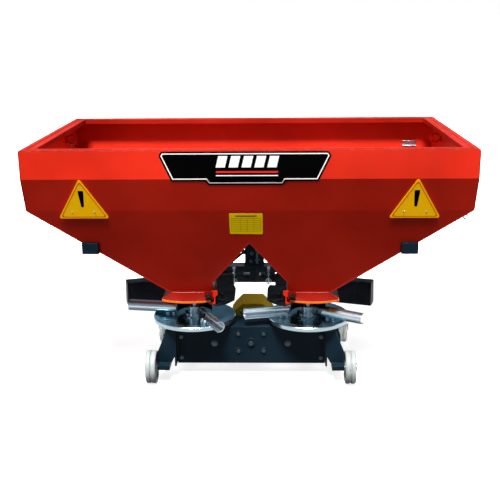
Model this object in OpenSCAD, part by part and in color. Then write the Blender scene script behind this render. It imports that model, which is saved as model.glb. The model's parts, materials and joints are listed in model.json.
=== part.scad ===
// Tractor-mounted twin-disc fertiliser spreader.
// +X is the machine's right seen from behind, +Y points to the tractor, +Z is up.
// The origin is on the ground, under the middle of the whole machine.

/* [Hopper] */
// Outer width of the hopper
hopper_w = 2000; // [1700:10:2200]
// Outer depth of the hopper, front to rear
hopper_d = 1146; // [1080:2:1240]
// Height of the rim above the ground
rim_z = 1163; // [1120:1:1240]
// Height of the upright band under the rim
band_h = 127; // [100:1:140]
// Height of the leaning band under the upright band
lean_h = 153; // [140:1:170]
// How far the leaning band leans in
lean_in = 53; // [30:1:70]
// Height of the top of the ridge between the two funnels
ridge_z = 715; // [660:1:740]
// Thickness of the hopper sheet
sheet = 3; // [2:0.5:4]
// Width of the folded flange round the rim
rim_w = 62; // [40:1:66]

/* [Outlets] */
// Height of the lower edge of the funnels
outlet_z = 438; // [430:1:450]
// Distance of each disc axis from the middle plane
axis_x = 281; // [275:1:300]
// Place of the disc axes from the middle of the hopper, front to rear
axis_y = -240; // [-250:1:-230]
// Half the width of a funnel outlet
outlet_half_w = 101; // [96:1:106]
// Half the depth of a funnel outlet
outlet_half_d = 105; // [100:1:110]
// Angle that a metering shutter turns to close
shutter_turn = 70; // [60:1:75]

/* [Discs] */
// Radius of a spreading disc
disc_r = 203; // [180:1:215]
// Height of the flat of a disc above the ground
disc_z = 286; // [280:1:290]
// Reach of the long vane of the left disc
vane_reach_left = 335; // [290:1:340]
// Reach of the long vane of the right disc
vane_reach_right = 322; // [290:1:340]
// Reach of the short vanes
vane_reach_short = 298; // [280:1:320]
// Height of a vane
vane_h = 52; // [40:1:60]
// Radius of a disc hub
hub_r = 30; // [26:1:34]

/* [Gearbox beam] */
// Half the length of the beam
beam_half = 363; // [355:1:370]
// Height of the underside of the beam
beam_z = 62; // [55:1:70]
// Height of the top of the beam
beam_top = 252; // [248:1:254]
// Depth of the beam, front to rear
beam_d = 160; // [156:1:166]
// Height of the drive shafts above the ground
shaft_z = 170; // [168:1:172]

/* [Running gear] */
// Radius of a parking wheel
wheel_r = 80; // [70:1:90]
// Width of a parking wheel
wheel_w = 50; // [40:1:56]
// Distance of the wheels' middle from the middle plane
wheel_x = 480; // [478:1:490]
// Place of the rear wheels, front to rear
wheel_rear_y = -408; // [-420:1:-400]
// Place of the front wheels, front to rear
wheel_front_y = 130; // [120:1:150]

/* [Headstock] */
// Half the distance between the shoulders of the lower hitch pins
hitch_half = 412.5; // [410:0.5:440]
// Height of the lower hitch pins above the ground
hitch_z = 272; // [268:1:290]
// Radius of the lower hitch pins
hitch_pin_r = 14; // [11:0.5:14]
// Height of the top link hole above the lower hitch pins
mast_h = 510; // [480:1:520]
// Radius of the top link hole
top_link_r = 12.85; // [12.75:0.05:13]
// Reach of the left arm from the middle plane
arm_reach_left = 722; // [660:1:740]
// Reach of the right arm from the middle plane
arm_reach_right = 668; // [640:1:740]
// Sweep of the arms to the rear, in degrees
arm_sweep = 17; // [12:1:20]

/* [Hidden] */
$fn = 64;

e = 1;                                   // overshoot of a cut
half_w = hopper_w / 2;
half_d = hopper_d / 2;
lean_top = rim_z - band_h;               // first bend of the hopper wall
lean_low = lean_top - lean_h;            // second bend of the hopper wall
slope_y = half_d - lean_in;              // half depth of the hopper at the second bend
outlet_out = axis_x + outlet_half_w;     // outer edge of a funnel outlet
outlet_in = axis_x - outlet_half_w;      // inner edge of a funnel outlet
outlet_rear = axis_y - outlet_half_d;
outlet_front = axis_y + outlet_half_d;
knee_z = outlet_z + 57;                  // where a funnel's inner wall turns upright
over = 40;                               // how far the cutting profiles run past the hopper

red = [0.72, 0.07, 0.03];
deep_red = [0.45, 0.05, 0.03];
orange = [0.92, 0.45, 0.05];
frame_black = [0.03, 0.07, 0.10];
black = [0.03, 0.03, 0.04];
zinc = [0.70, 0.73, 0.76];
steel = [0.45, 0.47, 0.50];
cast = [0.30, 0.31, 0.33];
mustard = [0.50, 0.42, 0.03];
nylon = [0.90, 0.90, 0.86];

hitch_y = 645;                           // lower hitch pins, ahead of the hopper's middle
ear_r = 46;
// Every measurement along Y below starts at the hopper's middle. This is how far the middle
// of the whole machine lies ahead of it.
middle_y = (hitch_y + ear_r - half_d) / 2;

// ---- general shapes -------------------------------------------------------------------

// A profile drawn in X and Z, extruded along Y from y0 to y1
module along_y(y0, y1) {
    translate([0, y1, 0]) rotate([90, 0, 0]) linear_extrude(y1 - y0) children();
}

// A profile drawn in Y and Z, extruded along X from x0 to x1
module along_x(x0, x1) {
    translate([x0, 0, 0]) rotate([90, 0, 90]) linear_extrude(x1 - x0) children();
}

// A box from its lowest to its highest corner
module block(low, high) {
    translate(low) cube(high - low);
}

// A round bar from one x to another, at a given y and z
module bar_x(x0, x1, y, z, r) {
    translate([x0, y, z]) rotate([0, 90, 0]) cylinder(h = x1 - x0, r = r);
}

// A round bar from one y to another, at a given x and z
module bar_y(x, y0, y1, z, r) {
    translate([x, y0, z]) rotate([-90, 0, 0]) cylinder(h = y1 - y0, r = r);
}

// A rectangle with rounded corners, centred
module round_rect(w, h, r) {
    square([w - 2 * r, h], center = true);
    square([w, h - 2 * r], center = true);
    for (sx = [-1, 1], sy = [-1, 1])
        translate([sx * (w / 2 - r), sy * (h / 2 - r)]) circle(r, $fn = 32);
}

// Moves a finished part from the hopper's middle to the origin
module placed() {
    translate([0, -middle_y, 0]) children();
}

// Children as drawn for the right-hand side, or mirrored for the left
module side(s) {
    if (s > 0) children();
    else mirror([1, 0, 0]) children();
}

function unit(v) = v / norm(v);
function turn_left(v) = [-v[1], v[0]];

// An outline, anticlockwise, moved inwards by t with mitred corners
function inset(points, t) = [
    for (i = [0:len(points) - 1])
        let (before = points[(i + len(points) - 1) % len(points)],
             here = points[i],
             after = points[(i + 1) % len(points)],
             n1 = turn_left(unit(here - before)),
             n2 = turn_left(unit(after - here)))
        here + t * (n1 + n2) / (1 + n1 * n2)];

// ---- hopper ---------------------------------------------------------------------------

// x of the hopper's end slope, and y of its rear and front slopes, at height z
function end_slope_x(z) =
    outlet_out + (z - outlet_z) * (half_w - outlet_out) / (lean_low - outlet_z);
function rear_slope_y(z) =
    outlet_rear + (z - outlet_z) * (-slope_y - outlet_rear) / (lean_low - outlet_z);
function front_slope_y(z) =
    outlet_front + (z - outlet_z) * (slope_y - outlet_front) / (lean_low - outlet_z);

// Outline of the hopper seen from behind, from height foot to height top
function rear_view(top, foot) = [
    [-half_w, top], [-half_w, lean_low], [-end_slope_x(foot), foot], [-outlet_in, foot],
    [-outlet_in, knee_z], [0, ridge_z], [outlet_in, knee_z], [outlet_in, foot],
    [end_slope_x(foot), foot], [half_w, lean_low], [half_w, top]];

// Outline of the hopper seen from the side, from height foot to height top
function side_view(top, foot) = [
    [rear_slope_y(foot), foot], [front_slope_y(foot), foot], [slope_y, lean_low],
    [half_d, lean_top], [half_d, top], [-half_d, top], [-half_d, lean_top],
    [-slope_y, lean_low]];

module rear_outline() { polygon(rear_view(rim_z - sheet, outlet_z)); }
module side_outline() { polygon(side_view(rim_z - sheet, outlet_z)); }
module side_inner() { polygon(inset(side_view(rim_z + over, outlet_z - over), sheet)); }

// Walls that face front and rear, the full width of the hopper
module cross_walls() {
    difference() {
        along_x(-half_w, half_w) polygon(side_view(rim_z + over, outlet_z - over));
        along_x(-half_w - e, half_w + e) side_inner();
    }
}

// Walls that face left and right, in the space between the front and rear walls
module end_walls() {
    intersection() {
        difference() {
            along_y(-half_d, half_d) polygon(rear_view(rim_z + over, outlet_z - over));
            along_y(-half_d - e, half_d + e)
                polygon(inset(rear_view(rim_z + over, outlet_z - over), sheet));
        }
        along_x(-half_w, half_w) side_inner();
        along_x(-half_w, half_w) side_outline();
    }
}

tube_in = 694;                           // saddle tube, inner and outer face
tube_out = 770;
tube_low = 668;
tube_high = 722;
tube_rear = -478;
tube_front = 292;

module saddle_space(s) {
    side(s) block([tube_in, tube_rear, tube_low], [tube_out, tube_front, tube_high]);
}

hinge_y = 500;                           // hinge line of the sieves
hinge_z = 905;
hinge_r = 5;
sieve_in = 14;
sieve_out = 925;
sieve_rear = -494;
hinge_at = [150, 790];                   // middles of the hinges of one sieve
ledge_h = 896;

// Hinge lugs and pin of one sieve hinge, welded to the front wall
module hinge_lug(x) {
    for (dx = [-24, 20])
        difference() {
            union() {
                bar_x(x + dx, x + dx + 4, hinge_y, hinge_z, 9);
                block([x + dx, hinge_y, hinge_z - 9],
                      [x + dx + 4, slope_y + 20, hinge_z + 9]);
            }
            along_x(x + dx - e, x + dx + 5)
                polygon([[slope_y - sheet, lean_low], [half_d - sheet, lean_top],
                         [half_d + 50, lean_top], [half_d + 50, lean_low]]);
        }
    bar_x(x - 24, x + 24, hinge_y, hinge_z, hinge_r);
}

module hopper_rear_panel() {
    color(red) placed() {
        difference() {
            intersection() {
                cross_walls();
                along_y(-half_d, axis_y) rear_outline();
            }
            for (s = [-1, 1]) saddle_space(s);
        }
        // ledge that the free edges of the sieves rest on
        difference() {
            block([-900, -slope_y - 20, ledge_h - 4], [900, sieve_rear + 16, ledge_h]);
            along_x(-901, 901)
                polygon([[-slope_y + sheet, lean_low], [-half_d + sheet, lean_top],
                         [-half_d - 50, lean_top], [-half_d - 50, lean_low]]);
        }
    }
}

module hopper_front_panel() {
    color(red) placed() {
        difference() {
            intersection() {
                cross_walls();
                along_y(axis_y, half_d) rear_outline();
            }
            for (s = [-1, 1]) saddle_space(s);
        }
        for (s = [-1, 1], x = hinge_at) side(s) hinge_lug(x);
    }
}

module hopper_end(s) {
    color(red) placed() side(s) difference() {
        intersection() {
            end_walls();
            block([axis_x, -half_d, 0], [half_w, half_d, rim_z - sheet]);
        }
        saddle_space(1);
    }
}

module hopper_divider() {
    color(red) placed() intersection() {
        end_walls();
        block([-axis_x, -half_d, 0], [axis_x, half_d, ridge_z + over]);
    }
}

module hopper_rim() {
    inner = [half_w - rim_w, half_d - rim_w];
    lip = 24;
    color(red) placed() {
        difference() {
            block([-half_w, -half_d, rim_z - sheet], [half_w, half_d, rim_z]);
            block([-inner[0], -inner[1], rim_z - 10], [inner[0], inner[1], rim_z + e]);
        }
        // folded lip on the inner edge, with a small return under the flange
        difference() {
            block([-inner[0] - sheet, -inner[1] - sheet, rim_z - lip],
                  [inner[0] + sheet, inner[1] + sheet, rim_z - sheet]);
            block([-inner[0], -inner[1], rim_z - lip - e], [inner[0], inner[1], rim_z]);
        }
        // raised bead that stiffens the flange
        difference() {
            block([-half_w + 22, -half_d + 22, rim_z], [half_w - 22, half_d - 22, rim_z + 3]);
            block([-half_w + 28, -half_d + 28, rim_z - e],
                  [half_w - 28, half_d - 28, rim_z + 4]);
        }
    }
}

module saddle_tube(s) {
    wall = 5;
    color(black) placed() side(s) difference() {
        block([tube_in, tube_rear, tube_low], [tube_out, tube_front, tube_high]);
        block([tube_in + wall, tube_rear + wall, tube_low + wall],
              [tube_out - wall, tube_front - wall, tube_high - wall]);
        bar_y((tube_in + tube_out) / 2, tube_front - wall - e, tube_front + e,
              (tube_low + tube_high) / 2, 8);
    }
}

// ---- outlets and metering -------------------------------------------------------------

pan_z = 410;                             // top of the outlet plate
plate_t = 10;
pan_in = 104;                            // inner and outer edge of the pan from the disc axis
pan_out = 141;
pan_arc = 240;                           // radius of the pan's curved rear edge
pan_arc_y = 84;                          // centre of that arc, ahead of the disc axis
guard_h = 24;
apron_r = 87;                            // apron behind the hub, inside the vanes' ends
boss_r = 24;                             // boss that a shutter turns on
window_w = 60;                           // metering windows
window_low = 42;
window_high = 88;

// Outline of the outlet pan about the disc axis, grown by g
module pan_outline(g) {
    intersection() {
        translate([-pan_in - g, -pan_arc])
            square([pan_in + pan_out + 2 * g, pan_arc + outlet_half_d + g]);
        translate([(pan_out - pan_in) / 2, pan_arc_y]) circle(pan_arc + g, $fn = 96);
    }
}

module outlet_outline(g) {
    square([2 * (outlet_half_w + g), 2 * (outlet_half_d + g)], center = true);
}

tab_y = -132;                            // rear face of the knob's tab, from the disc axis

// Thin slices that the skirt's faces run between
module skirt_solid(g, grow) {
    hull() {
        translate([0, 0, pan_z - grow]) linear_extrude(0.5) pan_outline(g);
        translate([0, 0, outlet_z - 0.5 + grow]) linear_extrude(0.5) outlet_outline(g);
    }
}

module at_axis(s) {
    translate([s * axis_x, axis_y, 0]) children();
}

module outlet_skirt(s) {
    color(red) placed() at_axis(s) side(s) {
        difference() {
            skirt_solid(0, 0);
            skirt_solid(-sheet, 0.6);
        }
        // tab that the clamping knob sits on
        difference() {
            block([-pan_in + 2, tab_y, pan_z + 2], [-pan_in + 42, tab_y + 6, outlet_z + 12]);
            skirt_solid(-1, 0.6);
        }
    }
}

module windows(z0, z1) {
    for (sy = [-1, 1])
        translate([-window_w / 2, sy > 0 ? window_low : -window_high, z0])
            cube([window_w, window_high - window_low, z1 - z0]);
}

module outlet_plate(s) {
    color(orange) placed() at_axis(s) side(s) difference() {
        union() {
            translate([0, 0, pan_z - plate_t]) linear_extrude(plate_t) pan_outline(2);
            translate([0, 0, pan_z - 28]) cylinder(h = 28 - plate_t / 2, r = boss_r);
            translate([0, 0, shutter_z - 6]) cylinder(h = 4, r = boss_r + 7);
        }
        translate([0, 0, pan_z - 30]) cylinder(h = 40, r = 17);
        windows(pan_z - plate_t - e, pan_z + e);
    }
}

// Upright band under the front half of the pan, open towards the middle of the machine
module drop_guard(s) {
    low = pan_z - plate_t - guard_h;
    foot = disc_z + 14;
    color(black) placed() at_axis(s) side(s) {
        difference() {
            translate([0, 0, low]) linear_extrude(guard_h) difference() {
                pan_outline(0);
                pan_outline(-4);
                translate([-pan_in - e, -pan_arc]) square([20, 2 * pan_arc]);
                translate([-pan_arc, -2 * pan_arc]) square([2 * pan_arc, 2 * pan_arc]);
            }
            // slot that the scale quadrant passes through
            translate([0, 0, quadrant_z - 1]) linear_extrude(6)
                part_ring(quadrant_in - 1, quadrant_out + 1,
                          quadrant_first - 1, quadrant_last + 1);
        }
        // half-round apron round the front of the hub, on a flat collar
        translate([0, 0, low]) linear_extrude(3) difference() {
            intersection() {
                pan_outline(-2);
                translate([-pan_arc, 0]) square([2 * pan_arc, pan_arc]);
            }
            circle(apron_r - 3, $fn = 96);
        }
        translate([0, 0, foot]) linear_extrude(low + 3 - foot) difference() {
            circle(apron_r, $fn = 96);
            circle(apron_r - 3, $fn = 96);
            translate([-pan_arc, -pan_arc]) square([2 * pan_arc, pan_arc]);
        }
    }
}

lever_r = 186;                           // reach of a shutter lever
shutter_r = 98;
shutter_t = 5;
shutter_z = pan_z - plate_t - 1 - shutter_t;
lever_rest = -32;                        // lever angle from the inward direction

module shutter(s) {
    color(black) placed() at_axis(s) side(s) translate([0, 0, shutter_z]) difference() {
        union() {
            cylinder(h = shutter_t, r = shutter_r, $fn = 96);
            rotate([0, 0, 180 - lever_rest]) {
                translate([0, -14, 0]) cube([lever_r - 14, 28, shutter_t]);
                translate([lever_r - 14, 0, 0]) cylinder(h = shutter_t, r = 14);
                translate([lever_r - 16, 0, 0]) cylinder(h = 34, r = 6);
                translate([lever_r - 16, 0, 30]) sphere(11, $fn = 24);
            }
        }
        translate([0, 0, -e]) cylinder(h = shutter_t + 2, r = boss_r + 0.05);
        windows(-e, shutter_t + e);
    }
}

quadrant_in = 124;
quadrant_out = 190;
quadrant_z = shutter_z - 12;
quadrant_first = -shutter_turn - lever_rest - 20;
quadrant_last = -lever_rest + 20;

// Part ring about the disc axis from angle a0 to a1, from the inward direction
module part_ring(r0, r1, a0, a1) {
    reach = 2 * r1;
    intersection() {
        difference() {
            circle(r1, $fn = 96);
            circle(r0, $fn = 96);
        }
        polygon([[0, 0], reach * [-cos(a0), -sin(a0)],
                 reach * [-cos((a0 + a1) / 2), -sin((a0 + a1) / 2)],
                 reach * [-cos(a1), -sin(a1)]]);
    }
}

// Scale plate beside a shutter lever, hung from the outlet plate by two tabs
module quadrant(s) {
    color(black) placed() at_axis(s) side(s) {
        translate([0, 0, quadrant_z]) linear_extrude(4) difference() {
            part_ring(quadrant_in, quadrant_out, quadrant_first, quadrant_last);
            part_ring(165, 172, quadrant_first + 8, quadrant_last - 8);
        }
        for (a = [quadrant_first + 10, quadrant_last - 5])
            rotate([0, 0, 180 + a]) translate([quadrant_in, -6, quadrant_z + 4])
                cube([4, 12, pan_z - plate_t - quadrant_z - 4]);
    }
}

knob_y = axis_y + tab_y;
knob_x = 199;
knob_z = 432;

// Clamping knob with four lobes, on its tab at the inner corner of the skirt
module clamp_knobs() {
    color(black) placed() for (s = [-1, 1])
        side(s) translate([knob_x, knob_y, knob_z]) rotate([90, 0, 0]) {
            cylinder(h = 8, r = 5);
            translate([0, 0, 8]) cylinder(h = 16, r = 11);
            for (a = [0:90:270])
                rotate([0, 0, a]) translate([9, 0, 8]) cylinder(h = 12, r = 5.5);
        }
}

// ---- discs ----------------------------------------------------------------------------

spindle_r = 14;
dish = 7;                                // rise of the disc's outer ring
skirt_h = 20;                            // depth of the disc's turned-down rim
hub_h = 48;
vane_z = disc_z + dish + 2;
vane_in_r = 90;
vane_t = 3;
flange_w = 12;
left_vanes = [[172, vane_reach_left], [-62, vane_reach_short]];
right_vanes = [[194, vane_reach_right], [-31, vane_reach_short]];
agitator_top = 552;

module disc(s) {
    flat_r = disc_r - 53;
    color(zinc) placed() at_axis(s) rotate_extrude($fn = 128) polygon([
        [spindle_r, disc_z - 4], [flat_r, disc_z - 4], [disc_r - 4, disc_z + dish - 5],
        [disc_r - 4, disc_z + dish - skirt_h], [disc_r, disc_z + dish - skirt_h],
        [disc_r, disc_z + dish - 3], [disc_r - 3, disc_z + dish], [flat_r, disc_z],
        [spindle_r, disc_z]]);
}

module hub(s) {
    top = disc_z + hub_h;
    color(zinc) placed() at_axis(s) difference() {
        union() {
            translate([0, 0, disc_z]) cylinder(h = 8, r = hub_r + 16);
            translate([0, 0, disc_z]) cylinder(h = top - disc_z, r = hub_r);
            for (a = [30:90:300]) rotate([0, 0, a]) translate([hub_r + 9, 0, disc_z + 8])
                cylinder(h = 5, r = 6, $fn = 6);
            translate([-hub_r - 9, 0, top - 18]) rotate([0, 90, 0])
                cylinder(h = 2 * hub_r + 18, r = 6);
        }
        translate([0, 0, disc_z - e]) cylinder(h = 60, r = spindle_r);
    }
}

// A half-round trough along +X, open towards +Y, with flat lips and two bolted feet
module vane(tip) {
    r = vane_h / 2;
    mid = vane_z + r;
    difference() {
        bar_x(vane_in_r, tip, 0, mid, r);
        bar_x(vane_in_r - e, tip + e, 0, mid, r - vane_t);
        block([vane_in_r - e, 0, mid - vane_h], [tip + e, vane_h, mid + vane_h]);
    }
    for (z = [vane_z, vane_z + vane_h - vane_t])
        block([vane_in_r, 0, z], [tip, flange_w, z + vane_t]);
    for (x = [108, 138]) {
        translate([x, 6, disc_z]) cylinder(h = vane_z + 1 - disc_z, r = 10);
        translate([x, 6, vane_z + vane_t]) cylinder(h = 6, r = 8, $fn = 6);
    }
}

module vanes(s, angles) {
    color(zinc) placed() at_axis(s)
        for (v = angles) rotate([0, 0, v[0]]) mirror([0, s < 0 ? 1 : 0, 0]) vane(v[1]);
}

module spindle(s) {
    color(steel) placed() at_axis(s) {
        translate([0, 0, shaft_z - 56]) cylinder(h = disc_z + hub_h - shaft_z + 56, r = spindle_r);
        translate([0, 0, disc_z + hub_h]) cylinder(h = agitator_top - disc_z - hub_h, r = 11);
        spindle_gear();
    }
}

module agitator(s) {
    color(steel) placed() at_axis(s) {
        difference() {
            translate([0, 0, 470]) cylinder(h = 60, r = 17);
            translate([0, 0, 469]) cylinder(h = 62, r = 11);
        }
        for (k = [0:3]) rotate([0, 0, 45 + 90 * k]) translate([15, 0, 480 + 13 * k])
            rotate([0, 80, 0]) cylinder(h = 60, r = 5);
    }
}

// ---- drive train ----------------------------------------------------------------------

mitre_r = 38;                            // pitch radius of the disc drive gears
mitre_n = 16;
mitre_tooth = [2.2, 2.8];                // height above and depth below the pitch cone
pto_r = 60;                              // pitch radii of the input pair
pto_n = 20;
pinion_r = 45;
pinion_n = 15;
pto_tooth = [3, 3.6];
cross_r = 14;
pto_shaft_r = 17.45;
bearing_gap = 0.05;                      // radial clearance of a shaft in its bearing

// Bevel gear about +Z with its pitch cone's apex at the origin; the mate's pitch radius
// is its distance from the apex. Teeth are centred at angle phase and every pitch on.
module bevel_gear(n, r, mate_r, tooth, face, bore, phase) {
    cone = atan(r / mate_r);
    reach = norm([r, mate_r]);
    shrink = 1 - face / reach;
    out = [cos(cone), -sin(cone)];
    back = 12;
    outer = [r, mate_r] + tooth[0] * out;
    rear = [r, mate_r] - back * out;
    inner = shrink * outer;
    gap = 0.64 * 2 * PI * r / n;
    difference() {
        rotate_extrude($fn = 96) polygon([
            [bore, inner[1]], inner, outer, rear, [bore, rear[1]]]);
        for (i = [0:n - 1]) rotate([0, 0, phase + (i + 0.5) * 360 / n])
            translate([r, 0, mate_r]) rotate([0, cone, 0])
                translate([-tooth[1], -gap / 2, -face - 8]) cube([20, gap, face + 20]);
    }
}

module pto_gear() {
    color(steel) placed() translate([0, axis_y, shaft_z]) rotate([-90, 0, 0])
        bevel_gear(pto_n, pto_r, pinion_r, pto_tooth, 15, pto_shaft_r, 0);
}

module cross_gears() {
    color(steel) placed() {
        translate([0, axis_y, shaft_z]) rotate([0, 90, 0])
            bevel_gear(pinion_n, pinion_r, pto_r, pto_tooth, 15, cross_r, 6);
        for (s = [-1, 1]) translate([s * axis_x, axis_y, shaft_z]) rotate([0, -s * 90, 0])
            bevel_gear(mitre_n, mitre_r, mitre_r, mitre_tooth, 12, cross_r, 180 / mitre_n);
    }
}

module spindle_gear() {
    translate([0, 0, shaft_z])
        bevel_gear(mitre_n, mitre_r, mitre_r, mitre_tooth, 12, spindle_r - 1, 0);
}

module cross_shaft() {
    end = axis_x - 26;
    color(steel) placed() bar_x(-end, end, axis_y, shaft_z, cross_r);
}

// Section of the six-spline shaft end
module splines() {
    intersection() {
        circle(pto_shaft_r);
        union() {
            circle(14.6);
            for (k = [0:5]) rotate(60 * k + 30) translate([0, -4.3]) square([30, 8.6]);
        }
    }
}

// Input shaft, with a groove for the coupling's locking balls
module pto_shaft() {
    groove = [50, 58];
    end_y = 92;
    color(steel) placed() translate([0, 0, shaft_z]) rotate([-90, 0, 0]) {
        translate([0, 0, axis_y + 26]) cylinder(h = -axis_y - 26, r = pto_shaft_r);
        linear_extrude(groove[0]) splines();
        translate([0, 0, groove[0] - e]) cylinder(h = groove[1] - groove[0] + 2, r = 13.8);
        translate([0, 0, groove[1]]) linear_extrude(end_y - groove[1]) splines();
    }
}

case_half = 78;                          // half width of the centre gearbox
case_rear = axis_y - 74;
case_front = axis_y + 74;
case_low = shaft_z - 68;
case_high = shaft_z + 68;
boss_end = 98;                           // ends of the centre gearbox's side bosses
pto_boss_end = -138;
pot_r = 62;                              // disc gearbox
pot_low = 98;
pot_high = beam_top - 6;

module center_gearbox() {
    color(cast) placed() difference() {
        union() {
            block([-case_half, case_rear, case_low], [case_half, case_front, case_high]);
            bar_x(-boss_end, boss_end, axis_y, shaft_z, 36);
            bar_y(0, case_front, pto_boss_end, shaft_z, 38);
        }
        block([-case_half + 8, case_rear + 8, case_low + 5],
              [case_half - 8, case_front - 8, case_high - 5]);
        bar_x(-boss_end - e, boss_end + e, axis_y, shaft_z, 27);
        bar_y(0, case_front - 10, pto_boss_end + e, shaft_z, 30);
    }
}

module disc_gearbox(s) {
    color(cast) placed() at_axis(s) side(s) difference() {
        union() {
            translate([0, 0, pot_low]) cylinder(h = pot_high - pot_low, r = pot_r);
            translate([-pot_r - 12, 0, shaft_z]) rotate([0, 90, 0]) cylinder(h = 30, r = 34);
        }
        translate([0, 0, shaft_z - 44]) cylinder(h = 94, r = pot_r - 5);
        translate([0, 0, pot_low - e]) cylinder(h = 200, r = 27);
        translate([-pot_r - 13, 0, shaft_z]) rotate([0, 90, 0]) cylinder(h = 40, r = 27);
    }
}

module shaft_tubes() {
    inner_end = axis_x - pot_r - 12;
    color(cast) placed() for (s = [-1, 1]) side(s) difference() {
        bar_x(boss_end, inner_end, axis_y, shaft_z, 30);
        bar_x(boss_end - e, inner_end + e, axis_y, shaft_z, 25);
    }
}

// Ring about +Z, for a bearing or bush
module ring(outer, inner, width) {
    difference() {
        cylinder(h = width, r = outer);
        translate([0, 0, -e]) cylinder(h = width + 2, r = inner);
    }
}

module bearings() {
    cross_bore = cross_r + bearing_gap;
    color(steel) placed() {
        for (s = [-1, 1]) {
            at_axis(s) {
                translate([0, 0, pot_low + 12]) ring(27, spindle_r + bearing_gap, 16);
                translate([0, 0, pot_high - 20]) ring(27, spindle_r + bearing_gap, 16);
            }
            translate([s * (boss_end - 10), axis_y, shaft_z]) rotate([0, 90, 0])
                translate([0, 0, -8]) ring(27, cross_bore, 16);
            translate([s * (axis_x - pot_r - 2), axis_y, shaft_z]) rotate([0, 90, 0])
                translate([0, 0, -8]) ring(27, cross_bore, 16);
        }
        translate([0, pto_boss_end - 22, shaft_z]) rotate([-90, 0, 0])
            ring(30, pto_shaft_r + bearing_gap, 20);
    }
}

// ---- frame ----------------------------------------------------------------------------

beam_rear = axis_y - beam_d / 2;
beam_front = axis_y + beam_d / 2;
beam_t = 6;

// Folded beam, open along the middle of its underside
module gearbox_beam() {
    lip = 38;
    color(frame_black) placed() difference() {
        block([-beam_half, beam_rear, beam_z], [beam_half, beam_front, beam_top]);
        block([-beam_half + beam_t, beam_rear + beam_t, beam_z + beam_t],
              [beam_half - beam_t, beam_front - beam_t, beam_top - beam_t]);
        block([-beam_half + beam_t, beam_rear + lip, beam_z - e],
              [beam_half - beam_t, beam_front - lip, beam_z + beam_t + e]);
        for (s = [-1, 1]) at_axis(s) translate([0, 0, beam_top - 20]) cylinder(h = 30, r = 32);
        bar_y(0, beam_front - 20, beam_front + e, shaft_z, 38);
    }
}

bolt_x = 62;

// Hexagon bolt head with its washer, on the beam's rear face
module rear_bolt(x, z, size) {
    translate([x, beam_rear, z]) rotate([90, 0, 0]) {
        cylinder(h = 2, r = size * 1.3);
        translate([0, 0, 2]) cylinder(h = size * 0.7, r = size, $fn = 6);
    }
}

module beam_bolts() {
    color(steel) placed() {
        for (sx = [-1, 1], z = [126, 216]) rear_bolt(sx * bolt_x, z, 8);
        rear_bolt(0, 169, 13);
        for (sx = [-1, 1]) rear_bolt(sx * 180, 166, 12);
        for (sx = [-1, 1], z = [90, 200]) rear_bolt(sx * 344, z, 8);
    }
}

skid_in = 392;
skid_out = 452;
skid_low = 70;
skid_high = 92;
leg_rear = -384;

// Parking leg: side plate on the beam's end, two cross plates and the wheel bar
module wheel_leg(s) {
    outline = [[beam_half + 8, 120], [386, skid_high], [skid_out, skid_high], [skid_out, 150],
               [410, beam_top], [beam_half + 8, beam_top]];
    color(frame_black) placed() side(s) {
        block([beam_half, leg_rear, beam_z + 10], [beam_half + 8, beam_front, beam_top]);
        along_y(leg_rear, leg_rear + 8) polygon(outline);
        along_y(beam_front - 8, beam_front) polygon(outline);
        block([skid_in, wheel_rear_y - 22, skid_low], [skid_out, wheel_front_y + 30, skid_high]);
    }
}

axle_r = 10;

module wheel_axles() {
    end = wheel_x + wheel_w / 2;
    color(zinc) placed() for (s = [-1, 1], y = [wheel_rear_y, wheel_front_y]) side(s) {
        bar_x(skid_out, end + 3, y, wheel_r, axle_r);
        bar_x(end + 3, end + 11, y, wheel_r, 13);
    }
}

// Nylon wheel with a groove round its tread
module wheel(s, y) {
    half = wheel_w / 2;
    color(nylon) placed() translate([s * wheel_x, y, wheel_r]) rotate([0, 90, 0])
        rotate_extrude($fn = 96) polygon([
            [axle_r + 0.05, -half], [26, -half], [28, -half + 7], [58, -half + 7],
            [62, -half], [wheel_r - 4, -half], [wheel_r, -half + 5], [wheel_r, -4],
            [wheel_r - 5, -2], [wheel_r - 5, 2], [wheel_r, 4], [wheel_r, half - 5],
            [wheel_r - 4, half], [62, half], [58, half - 7], [28, half - 7], [26, half],
            [axle_r + 0.05, half]]);
}

cross_rear = 520;                        // crossbars, front to rear
cross_front = 600;
upper_low = 268;
upper_high = 306;
lower_low = 208;
lower_high = 238;
cross_half = 388;
post_in = 190;
post_out = 250;
rail_low = 72;
rail_high = 130;

module headstock_crossbars() {
    t = 6;
    color(frame_black) placed() {
        for (zz = [[lower_low, lower_high], [upper_low, upper_high]])
            difference() {
                block([-cross_half, cross_rear, zz[0]], [cross_half, cross_front, zz[1]]);
                block([-cross_half - e, cross_rear + t, zz[0] + t],
                      [cross_half + e, cross_front - t, zz[1] - t]);
            }
        // uprights between the bars
        block([-28, cross_rear, lower_high], [28, cross_rear + 40, upper_low]);
        for (sx = [-1, 1]) side(sx) {
            block([62, cross_rear, lower_high], [120, cross_rear + 40, upper_low]);
            block([340, cross_rear, lower_high], [cross_half, cross_front, upper_low]);
            // legs down to the frame rails
            difference() {
                block([post_in, cross_rear + 10, rail_low], [post_out, cross_front - 10, lower_low]);
                block([post_in + t, cross_rear + 10 + t, rail_low - e],
                      [post_out - t, cross_front - 10 - t, lower_low - t]);
            }
        }
    }
}

rail_y = cross_rear + 10;
rail_start = 220;
rail_end = 296;

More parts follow.
